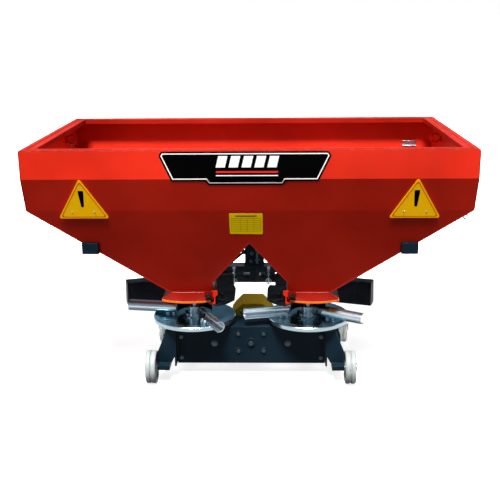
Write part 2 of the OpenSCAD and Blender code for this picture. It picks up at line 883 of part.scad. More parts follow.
// Two tubes that splay from the headstock's legs to the beam
module frame_rails() {
    run = [rail_end - rail_start, beam_front - rail_y];
    splay = atan(run[0] / -run[1]);
    color(frame_black) placed() for (s = [-1, 1]) side(s) intersection() {
        translate([rail_start, rail_y, (rail_low + rail_high) / 2]) rotate([90, 0, splay])
            linear_extrude(norm(run) + 100, center = false) difference() {
                round_rect(56, rail_high - rail_low, 6);
                round_rect(46, rail_high - rail_low - 10, 4);
            }
        block([0, beam_front, 0], [500, rail_y, 300]);
    }
}

arm_low = 136;
arm_high = 274;
arm_d = 84;

// Box arm swept outwards and to the rear, closed at its end
module frame_arm(s, reach) {
    root = 190;
    length = (reach - root) / cos(arm_sweep) + 60;
    h = arm_high - arm_low;
    color(black) placed() side(s) intersection() {
        translate([reach, 345, (arm_low + arm_high) / 2]) rotate([0, 0, -arm_sweep])
            rotate([0, -90, 0]) {
                linear_extrude(6) round_rect(h, arm_d, 12);
                linear_extrude(length) difference() {
                    round_rect(h, arm_d, 12);
                    round_rect(h - 12, arm_d - 12, 8);
                }
            }
        block([0, 0, 0], [900, cross_rear, 400]);
    }
}

// Posts from the arms up to the front slope of the hopper
module hopper_posts() {
    x0 = 452;
    x1 = 508;
    y0 = 386;
    y1 = 434;
    foot = arm_high;
    color(frame_black) placed() for (s = [-1, 1]) side(s) difference() {
        block([x0, y0, foot], [x1, y1, lean_low]);
        block([x0 + 5, y0 + 5, foot - e], [x1 - 5, y1 - 5, lean_low + e]);
        along_x(0, half_w) side_outline();
    }
}

mast_y = 604;
mast_half = 55;
top_z = hitch_z + mast_h;

mast_plate = 12;

// Two side plates with hopper brackets behind and top link ears in front
module headstock_mast() {
    outline = [[cross_rear, upper_high], [cross_front, upper_high], [mast_y + 40, top_z - 40],
               [mast_y + 40, top_z + 30], [mast_y - 20, top_z + 48], [cross_rear + 10, top_z + 48],
               [380, lean_low - 20], [360, lean_low - 90], [cross_rear, lean_low - 170]];
    color(frame_black) placed() for (s = [-1, 1]) side(s) difference() {
        along_x(mast_half - mast_plate, mast_half) polygon(outline);
        along_x(0, half_w) side_outline();
        bar_x(0, 100, mast_y + 12, top_z, top_link_r);
    }
}

// Web between the mast's side plates
module mast_web() {
    color(frame_black) placed()
        block([-mast_half + mast_plate, cross_rear, upper_high],
              [mast_half - mast_plate, cross_rear + 8, lean_low - 190]);
}

module hitch_ears() {
    color(frame_black) placed() for (s = [-1, 1]) side(s) difference() {
        union() {
            block([cross_half, cross_rear, 214], [hitch_half, cross_front + 5, 320]);
            along_x(cross_half, hitch_half) translate([hitch_y, hitch_z]) circle(ear_r);
            block([cross_half, cross_front, hitch_z - ear_r], [hitch_half, hitch_y, hitch_z + ear_r]);
        }
        bar_x(cross_half - e, hitch_half + e, hitch_y, hitch_z, hitch_pin_r);
    }
}

module hitch_pins() {
    free = 118;
    color(zinc) placed() for (s = [-1, 1]) side(s) difference() {
        union() {
            bar_x(cross_half - 8, hitch_half + free, hitch_y, hitch_z, hitch_pin_r);
            bar_x(cross_half - 16, cross_half, hitch_y, hitch_z, 24);
            bar_x(hitch_half, hitch_half + 5, hitch_y, hitch_z, 21);
        }
        translate([hitch_half + free - 14, hitch_y, hitch_z - 30]) cylinder(h = 60, r = 5.75);
    }
}

// Cover over the input shaft: a faceted arch with a rear wall and two mounting straps
module pto_hood() {
    t = 3;
    rear = 0;
    front = 168;
    outline = [[-111, 131], [-111, 192], [-90, 222], [-54, 258], [54, 258], [90, 222],
               [111, 192], [111, 131]];
    inner = [[-111 + t, 120], [-111 + t, 193], [-88, 220], [-53, 258 - t], [53, 258 - t],
             [88, 220], [111 - t, 193], [111 - t, 120]];
    color(mustard) placed() {
        difference() {
            along_y(rear, front) polygon(outline);
            along_y(rear + t, front + e) polygon(inner);
            block([-111 + 28, rear - e, 120], [111 - 28, rear + t + e, 152]);
            bar_y(0, rear - e, rear + t + e, shaft_z, 48);
        }
        for (s = [-1, 1]) side(s)
            block([111 - t, beam_front, 135], [111, rear, 175]);
    }
}

// Bent strap hook under the right end slope, for a lashing line
module lashing_hook() {
    color("gold") placed() translate([end_slope_x(858), -490, 858])
        rotate([90, 0, 0]) linear_extrude(20, center = true) difference() {
            translate([4, -10]) circle(13, $fn = 48);
            translate([4, -10]) circle(8, $fn = 48);
            translate([6, -30]) square([30, 22]);
            rotate(atan((lean_low - outlet_z) / (half_w - outlet_out)))
                translate([-60, -0.01]) square([120, 60]);
        }
}

// ---- sieves ---------------------------------------------------------------------------

module sieve(s) {
    low = ledge_h + 1;
    high = low + 20;
    bar = 6;
    bars_x = 11;
    bars_y = 12;
    front = hinge_y - 12;
    color(zinc) placed() side(s) {
        difference() {
            block([sieve_in, sieve_rear, low], [sieve_out, front, high]);
            block([sieve_in + bar, sieve_rear + bar, low - e],
                  [sieve_out - bar, front - bar, high + e]);
        }
        for (i = [1:bars_x]) {
            x = sieve_in + i * (sieve_out - sieve_in) / (bars_x + 1);
            block([x - 3, sieve_rear + bar, low + 7], [x + 3, front - bar, low + 13]);
        }
        for (i = [1:bars_y]) {
            y = sieve_rear + i * (front - sieve_rear) / (bars_y + 1);
            block([sieve_in + bar, y - 3, low + 7], [sieve_out - bar, y + 3, low + 13]);
        }
        // hinge knuckles
        for (x = hinge_at) difference() {
            union() {
                bar_x(x - 18, x + 18, hinge_y, hinge_z, 9);
                block([x - 18, front - 2, hinge_z - 5], [x + 18, hinge_y, hinge_z + 5]);
            }
            bar_x(x - 19, x + 19, hinge_y, hinge_z, hinge_r + 0.05);
        }
    }
}

// ---- assembly -------------------------------------------------------------------------

hopper_rear_panel();
hopper_front_panel();
hopper_end(-1);  // hopper_end_left
hopper_end(1);  // hopper_end_right
hopper_divider();
hopper_rim();
saddle_tube(-1);  // saddle_tube_left
saddle_tube(1);  // saddle_tube_right
outlet_skirt(-1);  // outlet_skirt_left
outlet_skirt(1);  // outlet_skirt_right
outlet_plate(-1);  // outlet_plate_left
outlet_plate(1);  // outlet_plate_right
drop_guard(-1);  // drop_guard_left
drop_guard(1);  // drop_guard_right
headstock_mast();
headstock_crossbars();
hitch_ears();
hitch_pins();
frame_arm(-1, arm_reach_left);  // frame_arm_left
frame_arm(1, arm_reach_right);  // frame_arm_right
hopper_posts();
frame_rails();
gearbox_beam();
wheel_leg(-1);  // wheel_leg_left
wheel_leg(1);  // wheel_leg_right
wheel_axles();
center_gearbox();
disc_gearbox(-1);  // disc_gearbox_left
disc_gearbox(1);  // disc_gearbox_right
shaft_tubes();
bearings();
pto_hood();
quadrant(-1);  // quadrant_left
quadrant(1);  // quadrant_right
beam_bolts();
lashing_hook();
pto_shaft();
pto_gear();
cross_shaft();
cross_gears();
spindle(-1);  // spindle_left
spindle(1);  // spindle_right
disc(-1);  // disc_left
disc(1);  // disc_right
hub(-1);  // hub_left
hub(1);  // hub_right
vanes(-1, left_vanes);  // vanes_left
vanes(1, right_vanes);  // vanes_right
agitator(-1);  // agitator_left
agitator(1);  // agitator_right
wheel(-1, wheel_rear_y);  // wheel_rear_left
wheel(1, wheel_rear_y);  // wheel_rear_right
wheel(-1, wheel_front_y);  // wheel_front_left
wheel(1, wheel_front_y);  // wheel_front_right
shutter(-1);  // shutter_left
shutter(1);  // shutter_right
clamp_knobs();
mast_web();
sieve(-1);  // sieve_left
sieve(1);  // sieve_right
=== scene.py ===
import json
import math

import bmesh
import bpy
from mathutils import Matrix, Vector, noise


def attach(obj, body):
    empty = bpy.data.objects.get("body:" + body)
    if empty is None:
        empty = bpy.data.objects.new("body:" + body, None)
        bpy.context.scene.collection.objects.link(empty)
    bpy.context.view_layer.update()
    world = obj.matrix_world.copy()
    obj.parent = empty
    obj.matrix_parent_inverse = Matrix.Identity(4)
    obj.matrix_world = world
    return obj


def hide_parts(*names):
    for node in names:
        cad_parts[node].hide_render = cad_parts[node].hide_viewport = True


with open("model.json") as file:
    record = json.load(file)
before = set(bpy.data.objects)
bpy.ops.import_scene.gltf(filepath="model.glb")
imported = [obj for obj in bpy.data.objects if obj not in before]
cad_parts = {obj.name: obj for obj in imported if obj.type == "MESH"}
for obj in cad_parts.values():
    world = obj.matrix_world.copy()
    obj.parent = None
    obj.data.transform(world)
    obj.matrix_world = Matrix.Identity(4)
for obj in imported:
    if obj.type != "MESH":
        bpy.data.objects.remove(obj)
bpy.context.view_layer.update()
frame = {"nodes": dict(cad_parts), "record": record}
scene = bpy.context.scene
scene.view_settings.view_transform = "Standard"

# ---- the machine's own sizes, in metres, as in the CAD model --------------------------
# Every y below starts at the hopper's middle; MID moves it to the frame's origin.
MID = 0.059
HALF_W, HALF_D = 1.000, 0.573
RIM_Z, BEND_Z, LOW_Z, OUTLET_Z = 1.163, 1.036, 0.883, 0.438
SLOPE_Y = 0.520
OUT_X, OUT_IN, KNEE_Z, RIDGE_Z = 0.382, 0.180, 0.495, 0.715
OUT_REAR, OUT_FRONT = -0.345, -0.135
AXIS_X, AXIS_Y = 0.281, -0.240
BEAM_REAR, BEAM_HALF, BEAM_LOW, BEAM_TOP = -0.320, 0.363, 0.062, 0.252
REARWARD, UPWARD = (0, -1, 0), (0, 0, 1)


def wall_y(z):
    """y of the rear wall's outer face at height z."""
    if z >= BEND_Z:
        return -HALF_D
    if z >= LOW_Z:
        return -HALF_D + (BEND_Z - z) * (HALF_D - SLOPE_Y) / (BEND_Z - LOW_Z)
    return -SLOPE_Y + (LOW_Z - z) * (OUT_REAR + SLOPE_Y) / (LOW_Z - OUTLET_Z)


def front_y(z):
    """y of the front wall's outer face at height z."""
    if z >= LOW_Z:
        return -wall_y(z)
    return SLOPE_Y - (LOW_Z - z) * (SLOPE_Y - OUT_FRONT) / (LOW_Z - OUTLET_Z)


def end_x(z):
    """x of the end wall's outer face at height z."""
    if z >= LOW_Z:
        return HALF_W
    return OUT_X + (z - OUTLET_Z) * (HALF_W - OUT_X) / (LOW_Z - OUTLET_Z)


# ---- camera ---------------------------------------------------------------------------

YAW, PITCH, ROLL = -0.0284, 0.2764, -0.0087
CAM_AT = (0.1096, -4.2170 - MID, 1.7493)
LENS, SENSOR = 61.2, 36
fwd = Vector((math.sin(YAW) * math.cos(PITCH), math.cos(YAW) * math.cos(PITCH),
              -math.sin(PITCH)))
right = Vector((math.cos(YAW), -math.sin(YAW), 0))
up = right.cross(fwd)
right, up = (right * math.cos(ROLL) + up * math.sin(ROLL),
             -right * math.sin(ROLL) + up * math.cos(ROLL))
cam_data = bpy.data.cameras.new("camera")
cam_data.lens = LENS
cam_data.sensor_width = SENSOR
cam = bpy.data.objects.new("camera", cam_data)
cam.matrix_world = Matrix.Translation(CAM_AT) @ Matrix((right, up, -fwd)).transposed().to_4x4()
scene.collection.objects.link(cam)
scene.camera = cam

# ---- materials ------------------------------------------------------------------------


class Nodes:
    """A small helper that builds a material's node tree."""

    def __init__(self, name):
        self.mat = bpy.data.materials.new(name)
        self.mat.use_nodes = True
        self.tree = self.mat.node_tree
        self.bsdf = self.tree.nodes["Principled BSDF"]
        self.coord = self.add("ShaderNodeTexCoord").outputs["Object"]

    def add(self, kind, **values):
        n = self.tree.nodes.new(kind)
        for k, v in values.items():
            setattr(n, k, v)
        return n

    def link(self, a, b):
        self.tree.links.new(a, b)

    def set(self, **values):
        for k, v in values.items():
            self.bsdf.inputs[k.replace("_", " ")].default_value = v

    def noise(self, scale, detail, rough=0.55, squeeze=None):
        n = self.add("ShaderNodeTexNoise")
        n.inputs["Scale"].default_value = scale
        n.inputs["Detail"].default_value = detail
        n.inputs["Roughness"].default_value = rough
        if squeeze:
            m = self.add("ShaderNodeMapping")
            m.inputs["Scale"].default_value = squeeze
            self.link(self.coord, m.inputs["Vector"])
            self.link(m.outputs["Vector"], n.inputs["Vector"])
        else:
            self.link(self.coord, n.inputs["Vector"])
        return n.outputs["Fac"]

    def ramp(self, fac, lo, hi):
        """Rises from 0 to 1 while fac goes from lo to hi."""
        r = self.add("ShaderNodeValToRGB")
        r.color_ramp.elements[0].position = lo
        r.color_ramp.elements[1].position = hi
        self.link(fac, r.inputs["Fac"])
        return r.outputs["Color"]

    def math(self, op, a, b, clamp=False):
        """a and b are sockets or numbers."""
        m = self.add("ShaderNodeMath", operation=op, use_clamp=clamp)
        for i, v in enumerate((a, b)):
            if isinstance(v, (int, float)):
                m.inputs[i].default_value = v
            else:
                self.link(v, m.inputs[i])
        return m.outputs[0]

    def mix(self, fac, a, b):
        """a where fac is 0 and b where it is 1; both are sockets or colours."""
        m = self.add("ShaderNodeMix", data_type="RGBA")
        self.link(fac, m.inputs[0])
        for socket, v in ((m.inputs[6], a), (m.inputs[7], b)):
            if hasattr(v, "links"):
                self.link(v, socket)
            else:
                socket.default_value = (*v, 1)
        return m.outputs[2]

    def edge(self, radius):
        """About 1 on sharp edges and 0 on flats."""
        b = self.add("ShaderNodeBevel", samples=4)
        b.inputs["Radius"].default_value = radius
        g = self.add("ShaderNodeNewGeometry")
        d = self.add("ShaderNodeVectorMath", operation="DOT_PRODUCT")
        self.link(b.outputs["Normal"], d.inputs[0])
        self.link(g.outputs["Normal"], d.inputs[1])
        return self.math("SUBTRACT", 1.0, d.outputs["Value"], clamp=True)

    def upward(self):
        """1 where the surface faces up."""
        g = self.add("ShaderNodeNewGeometry")
        s = self.add("ShaderNodeSeparateXYZ")
        self.link(g.outputs["Normal"], s.inputs[0])
        return s.outputs["Z"]

    def bump(self, heights, round_edges=0.0):
        """heights: list of (socket, distance in metres, strength)."""
        prev = None
        if round_edges:
            b = self.add("ShaderNodeBevel", samples=4)
            b.inputs["Radius"].default_value = round_edges
            prev = b.outputs["Normal"]
        for h, dist, strength in heights:
            n = self.add("ShaderNodeBump")
            n.inputs["Strength"].default_value = strength
            n.inputs["Distance"].default_value = dist
            self.link(h, n.inputs["Height"])
            if prev is not None:
                self.link(prev, n.inputs["Normal"])
            prev = n.outputs["Normal"]
        if prev is not None:
            self.link(prev, self.bsdf.inputs["Normal"])


def lin(r, g, b):
    """sRGB 0-255 to scene linear."""
    return tuple((c / 255 / 12.92) if c / 255 < 0.04045 else ((c / 255 + 0.055) / 1.055) ** 2.4
                 for c in (r, g, b))


def painted(name, base, worn, rough, coat=0.12, dust=(0.35, 0.30, 0.24), dusty=0.12,
            wear=0.5, peel=0.5, shift=0.12, gloss=0.18):
    """Sprayed paint: orange peel, dust in streaks, chips along the edges, and a lighter top that
    is dust and, where strong, painted light.
    """
    n = Nodes(name)
    n.set(Roughness=rough, Coat_Weight=coat, Coat_Roughness=0.12, Specular_IOR_Level=gloss)
    broad = n.noise(1.7, 3)
    fine = n.noise(38, 5, 0.65)
    dark = tuple(c * (1 - shift * 1.6) for c in base)
    light = tuple(min(1, c * (1 + shift) + 0.004) for c in base)
    col = n.mix(n.ramp(broad, 0.35, 0.65), dark, light)
    col = n.mix(n.math("MULTIPLY", n.ramp(fine, 0.45, 0.75), 0.10), col, dark)
    # runs and streaks of dust down the sheet
    streak = n.noise(5.0, 4, 0.6, squeeze=(9, 9, 0.7))
    film = n.math("MULTIPLY", n.ramp(streak, 0.52, 0.82), 0.02 + 0.08 * dusty)
    col = n.mix(film, col, dust)
    # upward faces take the dust colour; where dusty is high, this lighter top is partly painted
    # light that stands in for light falling on the tops
    top_dust_and_light = n.math("MULTIPLY", n.ramp(n.upward(), 0.35, 0.95),
                    n.ramp(n.noise(14, 5, 0.6), 0.35, 0.75))
    col = n.mix(n.math("MULTIPLY", top_dust_and_light, dusty), col, dust)
    chips = n.math("MULTIPLY", n.ramp(n.edge(0.0035), 0.03, 0.16),
                   n.ramp(n.noise(60, 5, 0.7), 0.50, 0.58))
    chips = n.math("MULTIPLY", chips, wear)
    col = n.mix(chips, col, worn)
    n.link(col, n.bsdf.inputs["Base Color"])
    r = n.math("ADD", n.math("MULTIPLY", fine, 0.16), rough - 0.08)
    r = n.math("ADD", r, n.math("MULTIPLY", top_dust_and_light, 0.3), clamp=True)
    n.link(r, n.bsdf.inputs["Roughness"])
    n.bump([(n.noise(420, 2, 0.5), 0.00012, 0.35 * peel), (n.noise(6, 3, 0.5), 0.004, 0.06)],
           round_edges=0.002)
    return n.mat


def zinced(name, base=(0.60, 0.66, 0.70), rough=0.26, tint=(0.42, 0.50, 0.58), spangle=90,
           dull=0.3):
    """Zinc-plated sheet with a faint spangle, clouds and dull stains."""
    n = Nodes(name)
    n.set(Metallic=1.0)
    v = n.add("ShaderNodeTexVoronoi")
    v.inputs["Scale"].default_value = spangle
    n.link(n.coord, v.inputs["Vector"])
    cell = n.ramp(v.outputs["Distance"], 0.0, 0.9)
    cloud = n.noise(9, 5, 0.6)
    col = n.mix(n.ramp(cloud, 0.35, 0.7), base, tint)
    col = n.mix(n.math("MULTIPLY", cell, 0.18), col, (0.8, 0.84, 0.88))
    stain = n.math("MULTIPLY", n.ramp(n.noise(22, 6, 0.7), 0.56, 0.72), dull)
    col = n.mix(stain, col, (0.28, 0.27, 0.25))
    n.link(col, n.bsdf.inputs["Base Color"])
    brushed = n.noise(60, 3, 0.5, squeeze=(1, 1, 12))
    r = n.math("ADD", n.math("MULTIPLY", brushed, 0.22), rough - 0.10)
    r = n.math("ADD", r, n.math("MULTIPLY", stain, 0.5), clamp=True)
    n.link(r, n.bsdf.inputs["Roughness"])
    n.bump([(brushed, 0.0003, 0.18), (cell, 0.0004, 0.08)], round_edges=0.0015)
    return n.mat


def disc_metal(name, cx):
    """Zinc with fine rings turned about the disc's axis."""
    n = Nodes(name)
    n.set(Metallic=1.0, Anisotropic=0.35)
    off = n.add("ShaderNodeVectorMath", operation="SUBTRACT")
    off.inputs[1].default_value = (cx, AXIS_Y - MID, 0)
    n.link(n.coord, off.inputs[0])
    flat = n.add("ShaderNodeVectorMath", operation="MULTIPLY")
    flat.inputs[1].default_value = (1, 1, 0)
    n.link(off.outputs[0], flat.inputs[0])
    length = n.add("ShaderNodeVectorMath", operation="LENGTH")
    n.link(flat.outputs[0], length.inputs[0])
    rings = n.add("ShaderNodeTexNoise", noise_dimensions="1D")
    rings.inputs["Scale"].default_value = 520
    rings.inputs["Detail"].default_value = 3
    n.link(length.outputs["Value"], rings.inputs["W"])
    cloud = n.noise(8, 5, 0.6)
    col = n.mix(n.ramp(cloud, 0.3, 0.7), (0.46, 0.58, 0.65), (0.58, 0.68, 0.74))
    track = n.math("MULTIPLY", n.ramp(n.noise(30, 6, 0.7), 0.54, 0.74), 0.14)
    col = n.mix(track, col, (0.20, 0.24, 0.27))
    # the upward face is painted darker and teal, a painted dark reflection, while the
    # turned-down rim stays lighter
    painted_dark_face = n.math("MULTIPLY", n.ramp(n.upward(), 0.80, 0.97), 0.75)
    col = n.mix(painted_dark_face, col, (0.05, 0.25, 0.34))
    n.link(col, n.bsdf.inputs["Base Color"])
    r = n.math("ADD", n.math("MULTIPLY", rings.outputs["Fac"], 0.20), 0.10)
    r = n.math("ADD", r, n.math("MULTIPLY", track, 0.4), clamp=True)
    n.link(r, n.bsdf.inputs["Roughness"])
    n.bump([(rings.outputs["Fac"], 0.0004, 0.22), (n.noise(16, 3), 0.002, 0.10)],
           round_edges=0.0015)
    return n.mat


def cast(name):
    """Rough cast iron with a little rust."""
    base = (0.085, 0.088, 0.092)
    n = Nodes(name)
    n.set(Metallic=0.55)
    grit = n.noise(340, 4, 0.7)
    col = n.mix(n.ramp(n.noise(12, 5, 0.6), 0.3, 0.7), base, tuple(c * 1.9 for c in base))
    rust = n.math("MULTIPLY", n.ramp(n.noise(26, 6, 0.7), 0.58, 0.72), 0.35)
    col = n.mix(rust, col, (0.16, 0.07, 0.03))
    n.link(col, n.bsdf.inputs["Base Color"])
    n.link(n.math("ADD", n.math("MULTIPLY", grit, 0.25), 0.45), n.bsdf.inputs["Roughness"])
    n.bump([(grit, 0.0006, 0.45)], round_edges=0.003)
    return n.mat


def machined(name, base=(0.42, 0.44, 0.46), rough=0.24, oil=0.3):
    """Turned steel with fine lines and patches of old oil."""
    n = Nodes(name)
    n.set(Metallic=1.0)
    lines = n.noise(80, 3, 0.5, squeeze=(1, 1, 14))
    col = n.mix(n.ramp(n.noise(20, 5, 0.6), 0.35, 0.7), base, tuple(c * 0.7 for c in base))
    film = n.math("MULTIPLY", n.ramp(n.noise(40, 6, 0.7), 0.52, 0.68), oil)
    col = n.mix(film, col, (0.10, 0.07, 0.045))
    n.link(col, n.bsdf.inputs["Base Color"])
    r = n.math("ADD", n.math("MULTIPLY", lines, 0.25), rough - 0.08)
    n.link(n.math("ADD", r, n.math("MULTIPLY", film, 0.30), clamp=True),
           n.bsdf.inputs["Roughness"])
    n.bump([(lines, 0.0002, 0.2)], round_edges=0.001)
    return n.mat


def plastic(name, base, dirt, dirty, rough=0.45, gloss=0.3):
    """Moulded plastic, scuffed along its edges."""
    n = Nodes(name)
    n.set(Specular_IOR_Level=gloss)
    col = n.mix(n.ramp(n.noise(11, 4, 0.6), 0.3, 0.75), base, tuple(c * 0.86 for c in base))
    muck = n.math("MULTIPLY", n.ramp(n.noise(34, 6, 0.72), 0.48, 0.74), dirty)
    scuff = n.math("MULTIPLY", n.ramp(n.edge(0.005), 0.05, 0.3), 0.35)
    col = n.mix(n.math("ADD", muck, scuff, clamp=True), col, dirt)
    n.link(col, n.bsdf.inputs["Base Color"])
    g = n.noise(260, 3, 0.6)
    n.link(n.math("ADD", n.math("MULTIPLY", g, 0.2), rough - 0.1), n.bsdf.inputs["Roughness"])
    n.bump([(g, 0.0003, 0.25)], round_edges=0.002)
    return n.mat


def vinyl(name, base, rough=0.30, coat=0.12, gloss=0.12, dusty=0.05, painted_glow=0.0):
    """Printed film with slight orange peel and specks of dust; its glow strength makes the film
    give off its own colour, painted light that brightens it.
    """
    n = Nodes(name)
    n.set(Coat_Weight=coat, Coat_Roughness=0.15, Specular_IOR_Level=gloss,
          Emission_Color=(*base, 1), Emission_Strength=painted_glow)
    col = n.mix(n.ramp(n.noise(7, 4, 0.6), 0.3, 0.7), base,
                tuple(min(1, c * 1.12 + 0.0004) for c in base))
    speck = n.math("MULTIPLY", n.ramp(n.noise(120, 5, 0.7), 0.62, 0.76), dusty)
    col = n.mix(speck, col, (0.35, 0.30, 0.24))
    n.link(col, n.bsdf.inputs["Base Color"])
    g = n.noise(55, 4, 0.6)
    n.link(n.math("ADD", n.math("MULTIPLY", g, 0.15), rough - 0.06), n.bsdf.inputs["Roughness"])
    n.bump([(n.noise(30, 3), 0.0006, 0.12), (g, 0.0002, 0.1)])
    return n.mat


M_RED = painted("red_paint", (0.64, 0.0165, 0.0026), lin(150, 100, 80), rough=0.36, coat=0.05,
                dust=(0.30, 0.08, 0.04), dusty=0.15, wear=0.4, gloss=0.12)
# a darker copy of the red paint for the outlet skirts: painted shade
M_RED_PAINTED_SHADE = painted("red_paint_shaded", (0.19, 0.0040, 0.0012), lin(90, 40, 30), rough=0.38,
                    coat=0.0, dust=(0.10, 0.02, 0.01), dusty=0.06, wear=0.4, gloss=0.03)
# a darker copy of the red paint for the hopper rim: painted shade that dims its top face
M_RED_RIM_SHADE = painted("red_paint_rim_shaded", (0.36, 0.0110, 0.0040), lin(205, 110, 95), rough=0.36,
                    coat=0.0, dust=(0.36, 0.04, 0.03), dusty=0.10, wear=0.4, gloss=0.05)
M_GREY = painted("grey_paint", (0.40, 0.42, 0.43), (0.10, 0.09, 0.09), rough=0.45,
                 dusty=0.2, dust=(0.12, 0.12, 0.12), wear=0.5, gloss=0.1)
# crossbars, rails and arms: a strong dust colour on upward faces, partly dust and partly painted
# light that makes their tops lighter
M_CROSS_DUST_AND_LIT_TOPS = painted("frame_paint_dust_and_lit_tops", (0.0010, 0.0062, 0.0105), (0.10, 0.09, 0.09), rough=0.44,
                  dusty=0.85, dust=(0.30, 0.32, 0.34), wear=0.45, gloss=0.07, coat=0.03)
M_ARM_DUST_AND_LIT_TOPS = painted("black_paint_dust_and_lit_tops", (0.0010, 0.0014, 0.0034), (0.08, 0.08, 0.08), rough=0.42,
                dusty=0.85, dust=(0.085, 0.093, 0.102), wear=0.45, gloss=0.07, coat=0.03)
M_ORANGE = painted("orange_paint", lin(224, 104, 8), lin(180, 170, 150), rough=0.34)
M_FRAME = painted("frame_paint", (0.0004, 0.0080, 0.0160), (0.10, 0.09, 0.09), rough=0.42,
                  dusty=0.08, dust=(0.05, 0.075, 0.085), wear=0.40, gloss=0.07, coat=0.03)
M_BLACK = painted("black_paint", (0.0012, 0.0018, 0.0036), (0.08, 0.08, 0.08), rough=0.40,
                  dusty=0.12, dust=(0.08, 0.09, 0.10), wear=0.40, gloss=0.07, coat=0.03)
M_HOOD = painted("hood_paint", (0.78, 0.58, 0.006), lin(90, 80, 60), rough=0.5, coat=0.05,
                 shift=0.25, wear=0.6)
M_HOOK = painted("hook_paint", lin(232, 175, 20), lin(120, 110, 100), rough=0.4)
M_ZINC = zinced("zinc_plate")
M_VANE = zinced("vane_steel", base=(0.74, 0.80, 0.84), rough=0.30, tint=(0.62, 0.70, 0.76),
                spangle=60, dull=0.07)
M_MESH = zinced("mesh_zinc", base=(0.50, 0.52, 0.54), rough=0.42, dull=0.4)
M_DISC_L = disc_metal("disc_metal_left", -AXIS_X)
M_DISC_R = disc_metal("disc_metal_right", AXIS_X)
M_CAST = cast("cast_housing")
M_STEEL = machined("machined_steel")
M_BOLT = machined("bolt_steel", base=(0.34, 0.38, 0.40), rough=0.30, oil=0.3)
M_BOLT_DARK = machined("bolt_dark", base=(0.075, 0.100, 0.115), rough=0.34, oil=0.4)
M_NYLON = plastic("nylon", lin(148, 154, 153), lin(120, 116, 108), dirty=0.45)
M_KNOB = plastic("black_plastic", (0.0035, 0.0035, 0.0042), (0.05, 0.045, 0.04), rough=0.42,
                 dirty=0.15, gloss=0.12)
M_WELD = painted("weld_red", lin(165, 20, 10), lin(120, 80, 60), rough=0.40, peel=1.5)
M_WELD_DARK = painted("weld_dark", (0.0050, 0.0110, 0.0150), (0.14, 0.12, 0.11), rough=0.5,
                      peel=1.5)
M_VINYL_BLACK = vinyl("vinyl_black", (0.0003, 0.0003, 0.0004), coat=0.0, gloss=0.01, dusty=0.008)
M_VINYL_WHITE = vinyl("vinyl_white", lin(235, 235, 232))
M_VINYL_RED = vinyl("vinyl_red", lin(205, 30, 25))
# the yellow plates and the ochre label glow a little: painted light, as the film is no lamp
M_VINYL_YELLOW = vinyl("vinyl_yellow", (1.0, 0.50, 0.001), coat=0.05, gloss=0.05, painted_glow=0.22)
M_VINYL_OCHRE = vinyl("vinyl_ochre", (0.98, 0.66, 0.001), rough=0.4, coat=0.0, gloss=0.05,
                      painted_glow=0.10)
M_VINYL_BROWN = vinyl("vinyl_brown", lin(120, 92, 10), rough=0.4, coat=0.1)
M_VINYL_ORANGE = vinyl("vinyl_orange", lin(232, 92, 12))

BY_SLOT = {
    "red_paint": M_RED, "orange_paint": M_ORANGE, "frame_paint": M_FRAME,
    "black_paint": M_BLACK, "black_plastic": M_KNOB, "cast_housing": M_CAST,
    "machined_steel": M_STEEL, "zinc_plate": M_ZINC, "hood_paint": M_HOOD,
    "hook_paint": M_HOOK, "nylon": M_NYLON}
BY_NODE = {
    "disc_left": M_DISC_L, "disc_right": M_DISC_R, "vanes_left": M_VANE,
    "vanes_right": M_VANE, "sieve_left": M_MESH, "sieve_right": M_MESH,
    "beam_bolts": M_BOLT_DARK, "outlet_skirt_left": M_RED_PAINTED_SHADE,
    "outlet_skirt_right": M_RED_PAINTED_SHADE, "hopper_rim": M_RED_RIM_SHADE, "headstock_crossbars": M_CROSS_DUST_AND_LIT_TOPS,
    "frame_arm_left": M_ARM_DUST_AND_LIT_TOPS, "frame_arm_right": M_ARM_DUST_AND_LIT_TOPS, "frame_rails": M_CROSS_DUST_AND_LIT_TOPS}
# each CAD node takes the material of its own row here, or else that of its slot
for part in frame["record"]["subparts"]:
    obj = frame["nodes"][part["node"]]
    mat = BY_NODE.get(part["node"], BY_SLOT[part["material_slot"]])
    obj.data.materials.clear()
    obj.data.materials.append(mat)

# ---- building pieces ------------------------------------------------------------------


def piece(name, bm, mat, body="frame", bevel=0.0, angle=35):
    """Makes a mesh object from bm, whose y starts at the hopper's middle."""
    bmesh.ops.recalc_face_normals(bm, faces=bm.faces)
    me = bpy.data.meshes.new(name)
    bm.to_mesh(me)
    bm.free()
    me.transform(Matrix.Translation((0, -MID, 0)))
    me.materials.append(mat)
    ob = bpy.data.objects.new(name, me)
    scene.collection.objects.link(ob)
    me.shade_smooth()
    me.set_sharp_from_angle(angle=math.radians(angle))
    if bevel:
        b = ob.modifiers.new("edges", "BEVEL")
        b.width = bevel
        b.segments = 2
        b.limit_method = "ANGLE"
        b.angle_limit = math.radians(40)
    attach(ob, body)
    return ob


def add_box(bm, lo, hi):
    lo, hi = Vector(lo), Vector(hi)
    verts = bmesh.ops.create_cube(bm, size=1)["verts"]
    bmesh.ops.scale(bm, vec=hi - lo, verts=verts)
    bmesh.ops.translate(bm, vec=(lo + hi) / 2, verts=verts)


def turns(count):
    """count angles in equal steps round a full circle."""
    return [2 * math.pi * k / count for k in range(count)]


def join_rings(bm, a, b):
    """Faces between two closed rings with the same number of corners."""
    for k in range(len(a)):
        j = (k + 1) % len(a)
        bm.faces.new((a[k], a[j], b[j], b[k]))


def frame_of(axis):
    """A rotation whose local Z lies along axis."""
    return Vector(axis).to_track_quat("Z", "Y").to_matrix().to_4x4()


